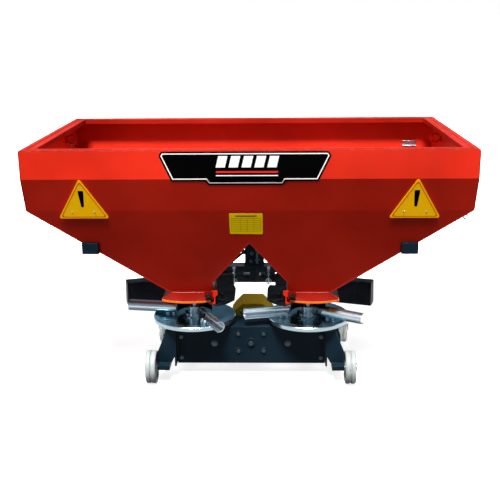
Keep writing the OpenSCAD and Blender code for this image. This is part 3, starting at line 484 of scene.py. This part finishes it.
def add_lathe(bm, base, axis, profile, segs):
    """Revolves (radius, height) points about axis from base; radius 0 at the end is a tip."""
    m = Matrix.Translation(base) @ frame_of(axis)
    rings = [[bm.verts.new(m @ Vector((r * math.cos(a), r * math.sin(a), h)))
              for a in turns(segs)] for r, h in profile if r]
    last = rings[-1]
    for a, b in zip(rings, rings[1:]):
        join_rings(bm, a, b)
    end_r, end_h = profile[-1]
    if not end_r:
        tip = bm.verts.new(m @ Vector((0, 0, end_h)))
        for k in range(segs):
            bm.faces.new((last[k], last[(k + 1) % segs], tip))
    bm.faces.new(rings[0])
    if end_r:
        bm.faces.new(last)


def add_hex(bm, base, axis, across, height, washer=0.0, turn=0.0):
    """Hexagon bolt head with a rounded top, on a washer."""
    r = across / math.sqrt(3)
    if washer:
        add_lathe(bm, base, axis, [(washer, 0), (washer, 0.0012), (washer * 0.93, 0.0020)], 32)
    m = Matrix.Translation(base) @ frame_of(axis) @ Matrix.Rotation(turn, 4, "Z")
    low, mid, top = [], [], []
    for k in range(6):
        a = math.pi / 3 * k
        c, s = math.cos(a), math.sin(a)
        low.append(bm.verts.new(m @ Vector((r * c, r * s, 0.0018))))
        mid.append(bm.verts.new(m @ Vector((r * c, r * s, height * 0.88))))
        top.append(bm.verts.new(m @ Vector((r * 0.86 * c, r * 0.86 * s, height))))
    join_rings(bm, low, mid)
    join_rings(bm, mid, top)
    bm.faces.new(low)
    bm.faces.new(top)


def add_tube(bm, points, radius, segs, closed=False):
    """A round rod along points."""
    pts = [Vector(p) for p in points]
    n = len(pts)
    rings = []
    prev = None
    for i, p in enumerate(pts):
        if closed:
            t = (pts[(i + 1) % n] - pts[i - 1]).normalized()
        else:
            t = (pts[min(i + 1, n - 1)] - pts[max(i - 1, 0)]).normalized()
        side_v = prev - t * prev.dot(t) if prev else t.orthogonal()
        side_v.normalize()
        prev = side_v
        up_v = t.cross(side_v)
        rings.append([bm.verts.new(p + radius * (math.cos(a) * side_v + math.sin(a) * up_v))
                      for a in turns(segs)])
    for a, b in zip(rings, rings[1:]):
        join_rings(bm, a, b)
    if closed:
        join_rings(bm, rings[-1], rings[0])
    else:
        bm.faces.new(rings[0])
        bm.faces.new(rings[-1])


def add_weld(bm, a, b, radius=0.003, pitch=0.005):
    """A rippled bead from a to b."""
    a, b = Vector(a), Vector(b)
    run = b - a
    count = max(3, int(run.length / pitch * 2))
    t = run.normalized()
    s = t.orthogonal().normalized()
    u = t.cross(s)
    rings = []
    for i in range(count + 1):
        f = i / count
        swell = 1 + (0.18 if i % 2 else -0.10) + 0.12 * noise.noise((a + run * f) * 60)
        if i in (0, count):
            swell = 0.35
        rings.append([bm.verts.new(a + run * f + radius * swell * (
            math.cos(k * math.pi / 3) * s + math.sin(k * math.pi / 3) * u)) for k in range(6)])
    for p, q in zip(rings, rings[1:]):
        join_rings(bm, p, q)
    bm.faces.new(rings[0])
    bm.faces.new(rings[-1])


def inset(points, t):
    """Moves a closed anticlockwise outline inwards by t."""
    out = []
    n = len(points)
    for i in range(n):
        p, q, r = (Vector(points[j % n]) for j in (i - 1, i, i + 1))
        d1, d2 = (q - p).normalized(), (r - q).normalized()
        n1, n2 = Vector((-d1.y, d1.x)), Vector((-d2.y, d2.x))
        out.append(tuple(q + t * (n1 + n2) / (1 + n1.dot(n2))))
    return out


def rounded(points, radius, steps=5):
    """Rounds the corners of a closed outline."""
    out = []
    n = len(points)
    for i in range(n):
        p, q, r = (Vector(points[j % n]) for j in (i - 1, i, i + 1))
        d1, d2 = (p - q), (r - q)
        cut = min(radius, d1.length * 0.45, d2.length * 0.45)
        a, b = q + d1.normalized() * cut, q + d2.normalized() * cut
        for k in range(steps + 1):
            f = k / steps
            out.append(tuple((1 - f) ** 2 * a + 2 * f * (1 - f) * q + f * f * b))
    return out


def add_film(bm, outline, hole, place, lift, thick):
    """A thin sheet with that outline; hole is None or an outline with as many corners.

    place gives the position and the normal that an outline's point has on its surface.
    """
    def ring(points, off):
        spots = [place(*point) for point in points]
        return [bm.verts.new(spot + normal * off) for spot, normal in spots]
    top, low = ring(outline, lift + thick), ring(outline, lift)
    join_rings(bm, low, top)
    if hole:
        hole_top, hole_low = ring(hole, lift + thick), ring(hole, lift)
        join_rings(bm, top, hole_top)
        join_rings(bm, low, hole_low)
        join_rings(bm, hole_low, hole_top)
    else:
        bmesh.ops.triangulate(bm, faces=[bm.faces.new(top), bm.faces.new(low)])


def on_wall(x, z):
    """Point and outward normal of the rear wall."""
    above, below = (Vector((x, wall_y(h), h)) for h in (z + 0.0005, z - 0.0005))
    along = (above - below).normalized()
    return Vector((x, wall_y(z), z)), Vector((0, -along.z, along.y))


def on_lean(x, z):
    """Point and normal of the leaning band's plane, also below its lower bend."""
    slope = (HALF_D - SLOPE_Y) / (BEND_Z - LOW_Z)
    y = -HALF_D + (BEND_Z - z) * slope
    nrm = Vector((0, -1, -slope)).normalized()
    return Vector((x, y, z)), nrm


# ---- stickers: plain shapes with no lettering -----------------------------------------

# gap under a film, and how thick the panel, its prints, the label and the finest prints are
FILM_LIFT, PANEL_T, PRINT_T, LABEL_T, INK_T = 0.0002, 0.0012, 0.0004, 0.0008, 0.0003
PRINT_LIFT = FILM_LIFT + PANEL_T

# black panel across the upright band; its lower step bends onto the leaning band
PANEL = [(-0.335, 1.027), (-0.186, 1.027), (-0.174, 1.009), (0.154, 1.009), (0.165, 1.027),
         (0.307, 1.027), (0.362, 1.140), (0.350, 1.158), (-0.376, 1.158), (-0.388, 1.140)]


def split_outline(points, z):
    """Adds points where an outline crosses height z."""
    out = []
    n = len(points)
    for i in range(n):
        a, b = Vector(points[i]), Vector(points[(i + 1) % n])
        out.append(tuple(a))
        if (a.y - z) * (b.y - z) < 0:
            out.append(tuple(a + (b - a) * (z - a.y) / (b.y - a.y)))
    return out


def film_pieces(outline, z):
    """An outline cut in two at height z, where the wall bends."""
    pts = split_outline(outline, z)
    return ([p for p in pts if p[1] >= z - 1e-6], [p for p in pts if p[1] <= z + 1e-6])


bm = bmesh.new()
for part_outline in film_pieces(rounded(PANEL, 0.006), BEND_Z):
    add_film(bm, part_outline, None, on_wall, FILM_LIFT, PANEL_T)
piece("panel_film", bm, M_VINYL_BLACK)

# thin white line inside the panel's edge, stretch by stretch, bent where the wall bends
bm = bmesh.new()
line_out, line_in = inset(PANEL, 0.008), inset(PANEL, 0.0125)
for i in range(len(PANEL)):
    j = (i + 1) % len(PANEL)
    for q in film_pieces([line_out[i], line_out[j], line_in[j], line_in[i]], BEND_Z):
        if len(q) >= 3 and max(p[1] for p in q) - min(p[1] for p in q) > 1e-5:
            add_film(bm, q, None, on_wall, PRINT_LIFT, PRINT_T)
piece("panel_line", bm, M_VINYL_WHITE)


def bars(name, mat, quads):
    """Prints on the panel."""
    b = bmesh.new()
    for q in quads:
        add_film(b, q, None, on_wall, PRINT_LIFT, PRINT_T)
    piece(name, b, mat)


def slanted(x0, x1, z0, z1, lean):
    """A bar whose upper edge is moved sideways by lean."""
    return [(x0, z0), (x1, z0), (x1 + lean, z1), (x0 + lean, z1)]


PRINT_X0, PRINT_X1, STRIPE_PITCH, STRIPE_W = -0.140, 0.130, 0.056, 0.040
bars("panel_stripes", M_VINYL_WHITE,
     [slanted(x, x + STRIPE_W, 1.088, 1.138, 0.012)
      for x in (PRINT_X0 + STRIPE_PITCH * k for k in range(5))])
bars("panel_rule_red", M_VINYL_RED, [slanted(PRINT_X0, PRINT_X1, 1.064, 1.072, 0.002)])
bars("panel_rule_white", M_VINYL_WHITE, [slanted(PRINT_X0, PRINT_X1, 1.050, 1.054, 0.001)])

# triangular plates held off the wall: thin sheet, orange border and a plain wedge
TRI_Z0, TRI_Z1, TRI_HALF = 0.849, 1.042, 0.115
PLATE_LIFT, PLATE_T, SPACER_X = 0.004, 0.0018, 0.05
PLATE_FACE = PLATE_LIFT + PLATE_T


def triangle(cx, t=0.0):
    """The plate's outline, moved inwards by t."""
    pts = [(cx - TRI_HALF, TRI_Z0), (cx + TRI_HALF, TRI_Z0), (cx, TRI_Z1)]
    return rounded(inset(pts, t), 0.016, 6)


for side, cx in (("left", -0.741), ("right", 0.739)):
    bm = bmesh.new()
    add_film(bm, triangle(cx), None, on_lean, PLATE_LIFT, PLATE_T)
    # two short spacers that hold the plate off the wall
    for dx in (-SPACER_X, SPACER_X):
        p, nrm = on_lean(cx + dx, 0.895)
        add_lathe(bm, p - nrm * 0.001, nrm, [(0.008, 0), (0.008, 0.006)], 20)
    piece("triangle_plate_" + side, bm, M_VINYL_YELLOW)
    bm = bmesh.new()
    add_film(bm, triangle(cx, 0.006), triangle(cx, 0.0095), on_lean, PLATE_FACE, INK_T)
    piece("triangle_border_" + side, bm, M_VINYL_ORANGE)
    bm = bmesh.new()
    wedge = rounded([(cx - 0.006, 0.905), (cx + 0.006, 0.905), (cx + 0.013, 0.985),
                     (cx - 0.013, 0.985)], 0.006, 5)
    add_film(bm, wedge, None, on_lean, PLATE_FACE, INK_T)
    piece("triangle_mark_" + side, bm, M_VINYL_BLACK)
    bm = bmesh.new()
    for dx in (-SPACER_X, SPACER_X):
        p, nrm = on_lean(cx + dx, 0.880)
        add_lathe(bm, p + nrm * PLATE_FACE, nrm,
                  [(0.0045, 0), (0.0045, 0.0008), (0.003, 0.002), (0, 0.0024)], 20)
    piece("triangle_rivets_" + side, bm, M_ZINC)

# ruled table label on the rear slope
LABEL = [(-0.087, 0.764), (0.062, 0.762), (0.062, 0.868), (-0.088, 0.868)]
TABLE_X0, TABLE_X1, TABLE_Z0, TABLE_Z1, ROW_PITCH = -0.080, 0.055, 0.778, 0.845, 0.011
bm = bmesh.new()
add_film(bm, rounded(LABEL, 0.004), None, on_wall, FILM_LIFT, LABEL_T)
piece("label_film", bm, M_VINYL_OCHRE)
bm = bmesh.new()
ruled = [(TABLE_X0, TABLE_Z0 + ROW_PITCH * k, TABLE_X1, TABLE_Z0 + ROW_PITCH * k + 0.0012)
         for k in range(7)]
ruled += [(x, TABLE_Z0, x + 0.0010, TABLE_Z1) for x in (TABLE_X0, -0.038, -0.008, 0.022, 0.0540)]
ruled += [(-0.060, 0.853, 0.035, 0.859)]
for x0, z0, x1, z1 in ruled:
    add_film(bm, [(x0, z0), (x1, z0), (x1, z1), (x0, z1)], None, on_wall, FILM_LIFT + LABEL_T,
             INK_T)
piece("label_lines", bm, M_VINYL_BROWN)

# ---- hopper details -------------------------------------------------------------------

SHEET = 0.003

# seams where the end walls are welded to the rear and front walls, and those of the
# funnels' inner walls and the ridge between them
SEAM_LOW = OUTLET_Z + 0.004
bm = bmesh.new()
for s in (-1, 1):
    for f in (wall_y, front_y):
        corner = [(s * end_x(z), f(z), z) for z in (RIM_Z - 0.004, BEND_Z, LOW_Z, SEAM_LOW)]
        inner = [(s * OUT_IN, f(SEAM_LOW), SEAM_LOW), (s * OUT_IN, f(KNEE_Z), KNEE_Z),
                 (0, f(RIDGE_Z), RIDGE_Z)]
        for seam in (corner, inner):
            for a, b in zip(seam, seam[1:]):
                add_weld(bm, a, b, 0.0022, 0.006)
piece("hopper_welds", bm, M_WELD)

# seams where the funnels' lower edges meet the outlet skirts
bm = bmesh.new()
for s in (-1, 1):
    loop = [(s * x, y, OUTLET_Z) for x, y in ((OUT_IN, OUT_REAR), (OUT_X, OUT_REAR),
                                              (OUT_X, OUT_FRONT), (OUT_IN, OUT_FRONT))]
    for k in range(4):
        add_weld(bm, loop[k], loop[(k + 1) % 4], 0.003, 0.007)
piece("outlet_welds", bm, M_WELD)

# lifting eyes on the inside of the end walls
EYE_R, EYE_Z, EYE_OUT, EYE_PAD = 0.022, 1.085, 0.030, 0.012
bm = bmesh.new()
for s in (-1, 1):
    x = s * (HALF_W - SHEET)
    x0, x1 = sorted((x, x - s * EYE_PAD))
    for y in (-0.30, 0.30):
        pts = [(x - s * (EYE_OUT + EYE_R * math.cos(a)), y, EYE_Z + EYE_R * math.sin(a))
               for a in turns(24)]
        add_tube(bm, pts, 0.005, 10, closed=True)
        add_box(bm, (x0, y - 0.025, EYE_Z - 0.015), (x1, y + 0.025, EYE_Z + 0.015))
piece("lifting_eyes", bm, M_RED)

# zinc clips that hold the sieves' edges, one on the left end and one on the front wall
CLIP_T, CLIP_OUT = 0.003, 0.022
bm = bmesh.new()
x = -(HALF_W - SHEET)
add_box(bm, (x, 0.385, 1.006), (x + CLIP_T, 0.470, 1.062))
add_box(bm, (x + CLIP_T, 0.385, 1.006), (x + CLIP_OUT, 0.470, 1.006 + CLIP_T))
y = front_y(1.003) - SHEET
add_box(bm, (0.835, y - 0.004, 1.004), (0.912, y, 1.032))
add_box(bm, (0.835, y - CLIP_OUT, 1.004), (0.912, y, 1.004 + CLIP_T))
piece("sieve_clips", bm, M_ZINC, bevel=0.0008)

# bolts on washers above and below the saddle tubes on the end slopes
SADDLE_IN, SADDLE_OUT, SADDLE_LOW, SADDLE_TOP = 0.694, 0.770, 0.668, 0.722
bm = bmesh.new()
slope_n = Vector((LOW_Z - OUTLET_Z, 0, -(HALF_W - OUT_X))).normalized()
for s in (-1, 1):
    for y in (-0.40, -0.30, 0.12, 0.22):
        for z in (SADDLE_LOW - 0.016, SADDLE_TOP + 0.020):
            add_hex(bm, (s * end_x(z), y, z), (s * slope_n.x, 0, slope_n.z), 0.017, 0.009,
                    washer=0.012, turn=0.3 * y)
piece("saddle_bolts", bm, M_BOLT)

# plugs in the saddle tubes' rear ends, a little smaller than the tubes' outsides
PLUG_GAP = 0.002
bm = bmesh.new()
for s in (-1, 1):
    x0, x1 = sorted((s * SADDLE_IN, s * SADDLE_OUT))
    add_box(bm, (x0 + PLUG_GAP, -0.4815, SADDLE_LOW + PLUG_GAP),
            (x1 - PLUG_GAP, -0.478, SADDLE_TOP - PLUG_GAP))
piece("saddle_plugs", bm, M_FRAME, bevel=0.0012)

# ---- outlets --------------------------------------------------------------------------

# lobed clamping knobs: each ring's height and its size against the knob's mean radius
KNOB_X, KNOB_Y, KNOB_Z, KNOB_R, KNOB_LOBE, KNOB_LOBES = 0.199, -0.372, 0.432, 0.0128, 0.0030, 4
KNOB_RINGS = [(0.006, 0.55), (0.008, 0.95), (0.012, 1.05), (0.019, 1.02), (0.023, 0.80),
              (0.024, 0.45)]
bm = bmesh.new()
for s in (-1, 1):
    base = Vector((s * KNOB_X, KNOB_Y, KNOB_Z))
    m = Matrix.Translation(base) @ frame_of(REARWARD)
    rings = []
    for h, k in KNOB_RINGS:
        ring = []
        for a in turns(64):
            r = (KNOB_R + KNOB_LOBE * math.cos(KNOB_LOBES * a)) * k
            ring.append(bm.verts.new(m @ Vector((r * math.cos(a), r * math.sin(a), h))))
        rings.append(ring)
    for a, b in zip(rings, rings[1:]):
        join_rings(bm, a, b)
    bm.faces.new(rings[0])
    bm.faces.new(rings[-1])
    add_lathe(bm, base, REARWARD, [(0.005, 0), (0.005, 0.008)], 24)
    add_lathe(bm, base, REARWARD, [(0.0045, 0.0235), (0.0045, 0.027), (0.003, 0.028)], 24)
knobs = piece("clamp_knobs_lobed", bm, M_KNOB, angle=50)
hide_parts("clamp_knobs")

# red brackets that hold the scale quadrants, one at each outlet's inner rear corner
BRACKET = [(0.198, 0.387), (0.198, 0.399), (0.174, 0.399), (0.174, 0.425), (0.184, 0.425),
           (0.184, 0.456), (0.157, 0.456), (0.157, 0.434), (0.168, 0.425), (0.168, 0.387)]
BRACKET_Y, BRACKET_T = -0.3712, 0.004
bm = bmesh.new()
for s in (-1, 1):
    add_film(bm, [(s * x, z) for x, z in BRACKET], None,
             lambda x, z: (Vector((x, BRACKET_Y, z)), Vector((0, 1, 0))), 0, BRACKET_T)
piece("scale_brackets", bm, M_RED, bevel=0.0006)

# angular trays with a folded edge, which lie on the scale quadrants under the levers
TRAY = [(0.172, -0.090), (0.092, -0.070), (0.080, -0.120), (0.080, -0.285), (0.112, -0.334),
        (0.150, -0.364), (0.172, -0.364)]
TRAY_Z, TRAY_T, TRAY_LIP = 0.3863, 0.0015, 0.010
bm = bmesh.new()
for s in (-1, 1):
    outline = [(s * x, y) for x, y in TRAY][::s]
    for hole, low in ((None, 0), (inset(outline, TRAY_T), -TRAY_LIP)):
        add_film(bm, outline, hole, lambda x, y: (Vector((x, y, TRAY_Z)), Vector(UPWARD)),
                 low, TRAY_T - low)
piece("lever_trays", bm, M_BLACK)

# ---- discs ----------------------------------------------------------------------------

DISC_TOP, BOLT_CIRCLE = 0.286, 0.062
PIN_Y, PIN_Z, PIN_END, PIN_RING = AXIS_Y - 0.003, 0.318, 0.052, 0.013
for s, side in ((-1, "left"), (1, "right")):
    cx = s * AXIS_X
    body = "disc_" + side
    bm = bmesh.new()
    for k in range(4):
        a = math.radians(45 + 90 * k)
        add_hex(bm, (cx + BOLT_CIRCLE * math.cos(a), AXIS_Y + BOLT_CIRCLE * math.sin(a),
                     DISC_TOP), UPWARD, 0.013, 0.008, washer=0.010, turn=a)
    piece("disc_bolts_" + side, bm, M_BOLT_DARK, body)
    # locking pin through the hub, with its spring ring
    bm = bmesh.new()
    add_tube(bm, [(cx - 0.050, PIN_Y, PIN_Z), (cx + PIN_END, PIN_Y, PIN_Z)], 0.0042, 14)
    ring = [(cx + PIN_END + PIN_RING * math.cos(a) + 0.012, PIN_Y + PIN_RING * math.sin(a),
             PIN_Z + 0.003 * math.cos(2 * a)) for a in turns(28)]
    add_tube(bm, ring, 0.0016, 8, closed=True)
    piece("hub_pin_" + side, bm, M_STEEL, body)

# ---- beam, legs and wheels ------------------------------------------------------------

# seams of the beam's ends and of the parking legs' corners and feet
BEAM_FRONT, LEG_X, LEG_REAR, LEG_FRONT = -0.160, 0.371, -0.376, -0.168
FOOT_X0, FOOT_X1, FOOT_Z = 0.392, 0.452, 0.092
bm = bmesh.new()
for s in (-1, 1):
    x = s * BEAM_HALF
    add_weld(bm, (x, BEAM_REAR, BEAM_LOW + 0.012), (x, BEAM_REAR, BEAM_TOP))
    add_weld(bm, (x, BEAM_REAR, BEAM_TOP), (x, BEAM_FRONT, BEAM_TOP))
    add_weld(bm, (s * LEG_X, LEG_REAR, 0.120), (s * LEG_X, LEG_REAR, BEAM_TOP))
    for y in (LEG_REAR, LEG_FRONT):
        add_weld(bm, (s * FOOT_X0, y, FOOT_Z), (s * FOOT_X1, y, FOOT_Z))
piece("beam_welds", bm, M_WELD_DARK)

# pressed rings round the beam's bolts, and a larger one in the middle
bm = bmesh.new()
for x, z in ((-0.062, 0.126), (0.062, 0.126), (-0.062, 0.216), (0.062, 0.216), (-0.180, 0.166),
             (0.180, 0.166)):
    add_lathe(bm, (x, BEAM_REAR, z), REARWARD,
              [(0.0185, 0), (0.0180, 0.0016), (0.0120, 0.0020)], 32)
add_lathe(bm, (0, BEAM_REAR, 0.169), REARWARD,
          [(0.026, 0), (0.0255, 0.002), (0.020, 0.0035), (0.017, 0.0030)], 40)
piece("beam_washers", bm, M_FRAME)

# grease nipples on the beam's top, near each disc gearbox
NIPPLE_X, NIPPLE_Y, NIPPLE_HEX = 0.215, -0.300, 0.007
bm = bmesh.new()
for s in (-1, 1):
    add_hex(bm, (s * NIPPLE_X, NIPPLE_Y, BEAM_TOP), UPWARD, 0.009, NIPPLE_HEX)
    add_lathe(bm, (s * NIPPLE_X, NIPPLE_Y, BEAM_TOP + NIPPLE_HEX), UPWARD,
              [(0.0022, 0), (0.0022, 0.004), (0.0032, 0.0055), (0.0028, 0.008), (0, 0.009)], 18)
piece("grease_nipples", bm, M_BOLT)

# five low round bosses on each wheel's recessed web, which turn with it
REAR_AXLE, FRONT_AXLE, AXLE_Z, WHEEL_WEB, BOSS_RING = -0.408, 0.130, 0.080, 0.498, 0.043
for body, s, y in (("wheel_rear_left", -1, REAR_AXLE), ("wheel_rear_right", 1, REAR_AXLE),
                   ("wheel_front_left", -1, FRONT_AXLE), ("wheel_front_right", 1, FRONT_AXLE)):
    bm = bmesh.new()
    for k in range(5):
        a = math.radians(90 + 72 * k)
        p = (s * WHEEL_WEB, y + BOSS_RING * math.cos(a), AXLE_Z + BOSS_RING * math.sin(a))
        add_lathe(bm, p, (s, 0, 0), [(0.010, 0), (0.010, 0.0008), (0.0085, 0.0012)], 24)
    piece(body + "_recess", bm, M_NYLON, body)

# split pins through the axles' ends, with their eyes on top
SPLIT_X, SPLIT_TOP = 0.5135, 0.100
bm = bmesh.new()
for s in (-1, 1):
    for y in (REAR_AXLE, FRONT_AXLE):
        add_tube(bm, [(s * SPLIT_X, y, 0.062), (s * SPLIT_X, y, SPLIT_TOP)], 0.0018, 10)
        add_tube(bm, [(s * SPLIT_X, y, SPLIT_TOP), (s * 0.5165, y + 0.003, 0.103),
                      (s * 0.5190, y, SPLIT_TOP), (s * 0.5165, y - 0.003, 0.098)], 0.0016, 8)
piece("split_pins", bm, M_BOLT)

# ---- arms, hood and headstock ---------------------------------------------------------

# seams round the hopper posts' feet, at the tops of the headstock's legs, under the uprights
# between the crossbars, and beside the mast
POST_X0, POST_X1, POST_Y0, POST_Y1, POST_FOOT = 0.452, 0.508, 0.386, 0.434, 0.275
bm = bmesh.new()
for s in (-1, 1):
    for x in (POST_X0, POST_X1):
        add_weld(bm, (s * x, POST_Y0, POST_FOOT), (s * x, POST_Y1, POST_FOOT))
    for y in (POST_Y0, POST_Y1):
        add_weld(bm, (s * POST_X0, y, POST_FOOT), (s * POST_X1, y, POST_FOOT))
    for x0, x1, y, z in ((0.194, 0.246, 0.5295, 0.2075), (0.064, 0.116, 0.5195, 0.2380)):
        add_weld(bm, (s * x0, y, z), (s * x1, y, z))
    add_weld(bm, (s * 0.055, 0.522, 0.306), (s * 0.055, 0.598, 0.306), 0.0035)
piece("frame_welds", bm, M_WELD_DARK)

# bolts in the hood's rear wall and in its side straps
bm = bmesh.new()
for x, turn in ((-0.062, 0.3), (0.062, 0.1)):
    add_hex(bm, (x, 0, 0.205), REARWARD, 0.015, 0.008, washer=0.011, turn=turn)
for s in (-1, 1):
    for y in (-0.140, -0.020):
        add_hex(bm, (s * 0.111, y, 0.155), (s, 0, 0), 0.015, 0.008, washer=0.011)
piece("hood_bolts", bm, M_BOLT)

# linch pins on short chains, hung from the rear face of the upper crossbar
CROSSBAR_REAR, CHAIN_Y, CHAIN_TOP, LINK_PITCH, LINKS = 0.520, 0.513, 0.296, 0.0125, 5
bm = bmesh.new()
for x in (-0.119, 0.082):
    for k in range(LINKS):
        z = CHAIN_TOP - LINK_PITCH * k
        # every second link is turned a quarter round
        dx, dy = (1, 0) if k % 2 else (0, 1)
        link = [(x + dx * 0.0046 * math.cos(a), CHAIN_Y + dy * 0.0046 * math.cos(a),
                 z + 0.0088 * math.sin(a)) for a in turns(16)]
        add_tube(bm, link, 0.0017, 8, closed=True)
    z = CHAIN_TOP - LINK_PITCH * LINKS
    add_tube(bm, [(x, CHAIN_Y, z + 0.004), (x, CHAIN_Y, z - 0.036)], 0.0055, 12)
    loop = [(x + 0.015 * math.sin(a), CHAIN_Y, z - 0.016 + 0.017 * math.cos(a))
            for a in turns(24)]
    add_tube(bm, loop, 0.0022, 8, closed=True)
    add_hex(bm, (x, CROSSBAR_REAR, CHAIN_TOP + 0.002), REARWARD, 0.012, 0.008, washer=0.009)
piece("linch_pins", bm, M_VANE)

# bracing plates that close the gaps between the crossbars' uprights
bm = bmesh.new()
for s in (-1, 1):
    a, b = sorted((s * 0.0285, s * 0.0615))
    add_box(bm, (a, 0.560, 0.2385), (b, 0.564, 0.2675))
piece("bracing_plates", bm, M_GREY, bevel=0.0006)

# bolts, a clip and a short guide pipe on the mast's web
bm = bmesh.new()
add_hex(bm, (-0.014, CROSSBAR_REAR, 0.386), REARWARD, 0.019, 0.013, washer=0.0125, turn=0.2)
add_hex(bm, (-0.020, CROSSBAR_REAR, 0.338), REARWARD, 0.017, 0.010, washer=0.0115, turn=0.5)
add_lathe(bm, (0.016, 0.509, 0.326), UPWARD,
          [(0.0045, 0), (0.0075, 0.001), (0.0075, 0.084), (0.0045, 0.085)], 24)
for z in (0.340, 0.396):
    add_box(bm, (0.002, 0.512, z), (0.030, CROSSBAR_REAR + 0.0005, z + 0.012))
piece("mast_fittings", bm, M_BOLT_DARK, bevel=0.0005)

# control rod from the mast to a lug on the left arm
bm = bmesh.new()
top_end, low_end = Vector((-0.060, 0.512, 0.396)), Vector((-0.196, 0.492, 0.284))
add_tube(bm, [top_end, low_end], 0.0065, 14)
for end in (top_end, low_end):
    add_lathe(bm, end - Vector((0, 0.008, 0)), (0, 1, 0),
              [(0.006, 0), (0.013, 0.0008), (0.013, 0.0152), (0.006, 0.016)], 28)
add_box(bm, (-0.206, 0.498, 0.273), (-0.186, 0.502, 0.292))
add_box(bm, (-0.068, 0.506, 0.384), (-0.0545, CROSSBAR_REAR + 0.0005, 0.408))
piece("control_rod", bm, M_BLACK, bevel=0.0004)

# ---- light and floor ------------------------------------------------------------------

# a white room, dimmer as a light source than it looks, so the key light shapes the sheets
world = bpy.data.worlds.new("studio")
scene.world = world
world.use_nodes = True
tree = world.node_tree
dim = tree.nodes["Background"]
dim.inputs["Color"].default_value = (0.96, 0.98, 1.0, 1)
dim.inputs["Strength"].default_value = 0.115
# what the metal mirrors: a bright low band all round and a dim cool ceiling
sheen = tree.nodes.new("ShaderNodeBackground")
where = tree.nodes.new("ShaderNodeTexCoord")
apart = tree.nodes.new("ShaderNodeSeparateXYZ")
level = tree.nodes.new("ShaderNodeMapRange")
level.inputs["From Min"].default_value = -1
bands = tree.nodes.new("ShaderNodeValToRGB")
tree.links.new(where.outputs["Generated"], apart.inputs[0])
tree.links.new(apart.outputs["Z"], level.inputs["Value"])
tree.links.new(level.outputs["Result"], bands.inputs["Fac"])
tree.links.new(bands.outputs["Color"], sheen.inputs["Color"])
stops = [(0.0, (0.16, 0.20, 0.23)), (0.24, (0.20, 0.25, 0.29)), (0.33, (0.95, 1.0, 1.0)),
         (0.50, (0.95, 1.0, 1.0)), (0.57, (0.16, 0.24, 0.30)), (0.72, (0.05, 0.09, 0.12)),
         (0.80, (0.30, 0.37, 0.42)), (0.90, (0.06, 0.10, 0.12))]
ramp = bands.color_ramp
while len(ramp.elements) < len(stops):
    ramp.elements.new(0.5)
for stop, (at, colour) in zip(ramp.elements, stops):
    stop.position = at
    stop.color = (*colour, 1)
sheen.inputs["Strength"].default_value = 1.1
bright = tree.nodes.new("ShaderNodeBackground")
bright.inputs["Color"].default_value = (1, 1, 1, 1)
bright.inputs["Strength"].default_value = 1.0
seen = tree.nodes.new("ShaderNodeLightPath")
reflected = tree.nodes.new("ShaderNodeMixShader")
either = tree.nodes.new("ShaderNodeMixShader")
tree.links.new(seen.outputs["Is Glossy Ray"], reflected.inputs[0])
tree.links.new(dim.outputs[0], reflected.inputs[1])
tree.links.new(sheen.outputs[0], reflected.inputs[2])
tree.links.new(seen.outputs["Is Camera Ray"], either.inputs[0])
tree.links.new(reflected.outputs[0], either.inputs[1])
tree.links.new(bright.outputs[0], either.inputs[2])
tree.links.new(either.outputs[0], tree.nodes["World Output"].inputs["Surface"])


def lamp(kind, name, loc, target, power, mirrored=True, **values):
    """A lamp aimed at target; mirrored says whether metal shows its reflection."""
    light = bpy.data.lights.new(name, kind)
    light.energy = power
    for k, v in values.items():
        setattr(light, k, v)
    ob = bpy.data.objects.new(name, light)
    ob.location = loc
    ob.rotation_mode = "QUATERNION"
    ob.rotation_quaternion = (Vector(target) - Vector(loc)).to_track_quat("-Z", "Y")
    ob.visible_glossy = mirrored
    scene.collection.objects.link(ob)


lamp("SUN", "key", (-0.42, -2.15, 5.4), (0, 0, 0.6), 8.6, angle=math.radians(18))
lamp("AREA", "side", (-4.2, -1.6, 2.6), (0, 0, 0.6), 30, shape="RECTANGLE", size=2.0,
     size_y=2.4)
lamp("AREA", "back", (0.9, 4.4, 2.9), (0, 0.4, 0.3), 120, mirrored=False, shape="RECTANGLE",
     size=2.6, size_y=2.0)
lamp("AREA", "low", (0.4, -4.6, 0.9), (0, -0.2, 0.3), 8, shape="RECTANGLE", size=2.6,
     size_y=1.0)
# two narrow ones stand in for the floor's light on the front wheels
for s in (-1, 1):
    lamp("AREA", "wheel_light", (s * 1.30, -1.50, 0.10), (s * 0.49, 0.12, 0.08), 1.5,
         mirrored=False, size=0.5, spread=math.radians(16))

# the floor is seen, but lights nothing and shows in no metal
bm = bmesh.new()
bmesh.ops.create_grid(bm, x_segments=2, y_segments=2, size=120)
me = bpy.data.meshes.new("floor")
bm.to_mesh(me)
bm.free()
floor = bpy.data.objects.new("floor", me)
scene.collection.objects.link(floor)
f = Nodes("floor")
f.set(Roughness=0.9, Specular_IOR_Level=0.2, Emission_Color=(1, 1, 1, 1),
      Emission_Strength=0.78)
f.link(f.mix(f.noise(0.6, 3), (0.90, 0.90, 0.90), (0.94, 0.94, 0.94)),
       f.bsdf.inputs["Base Color"])
me.materials.append(f.mat)
floor.visible_diffuse = False
floor.visible_glossy = False
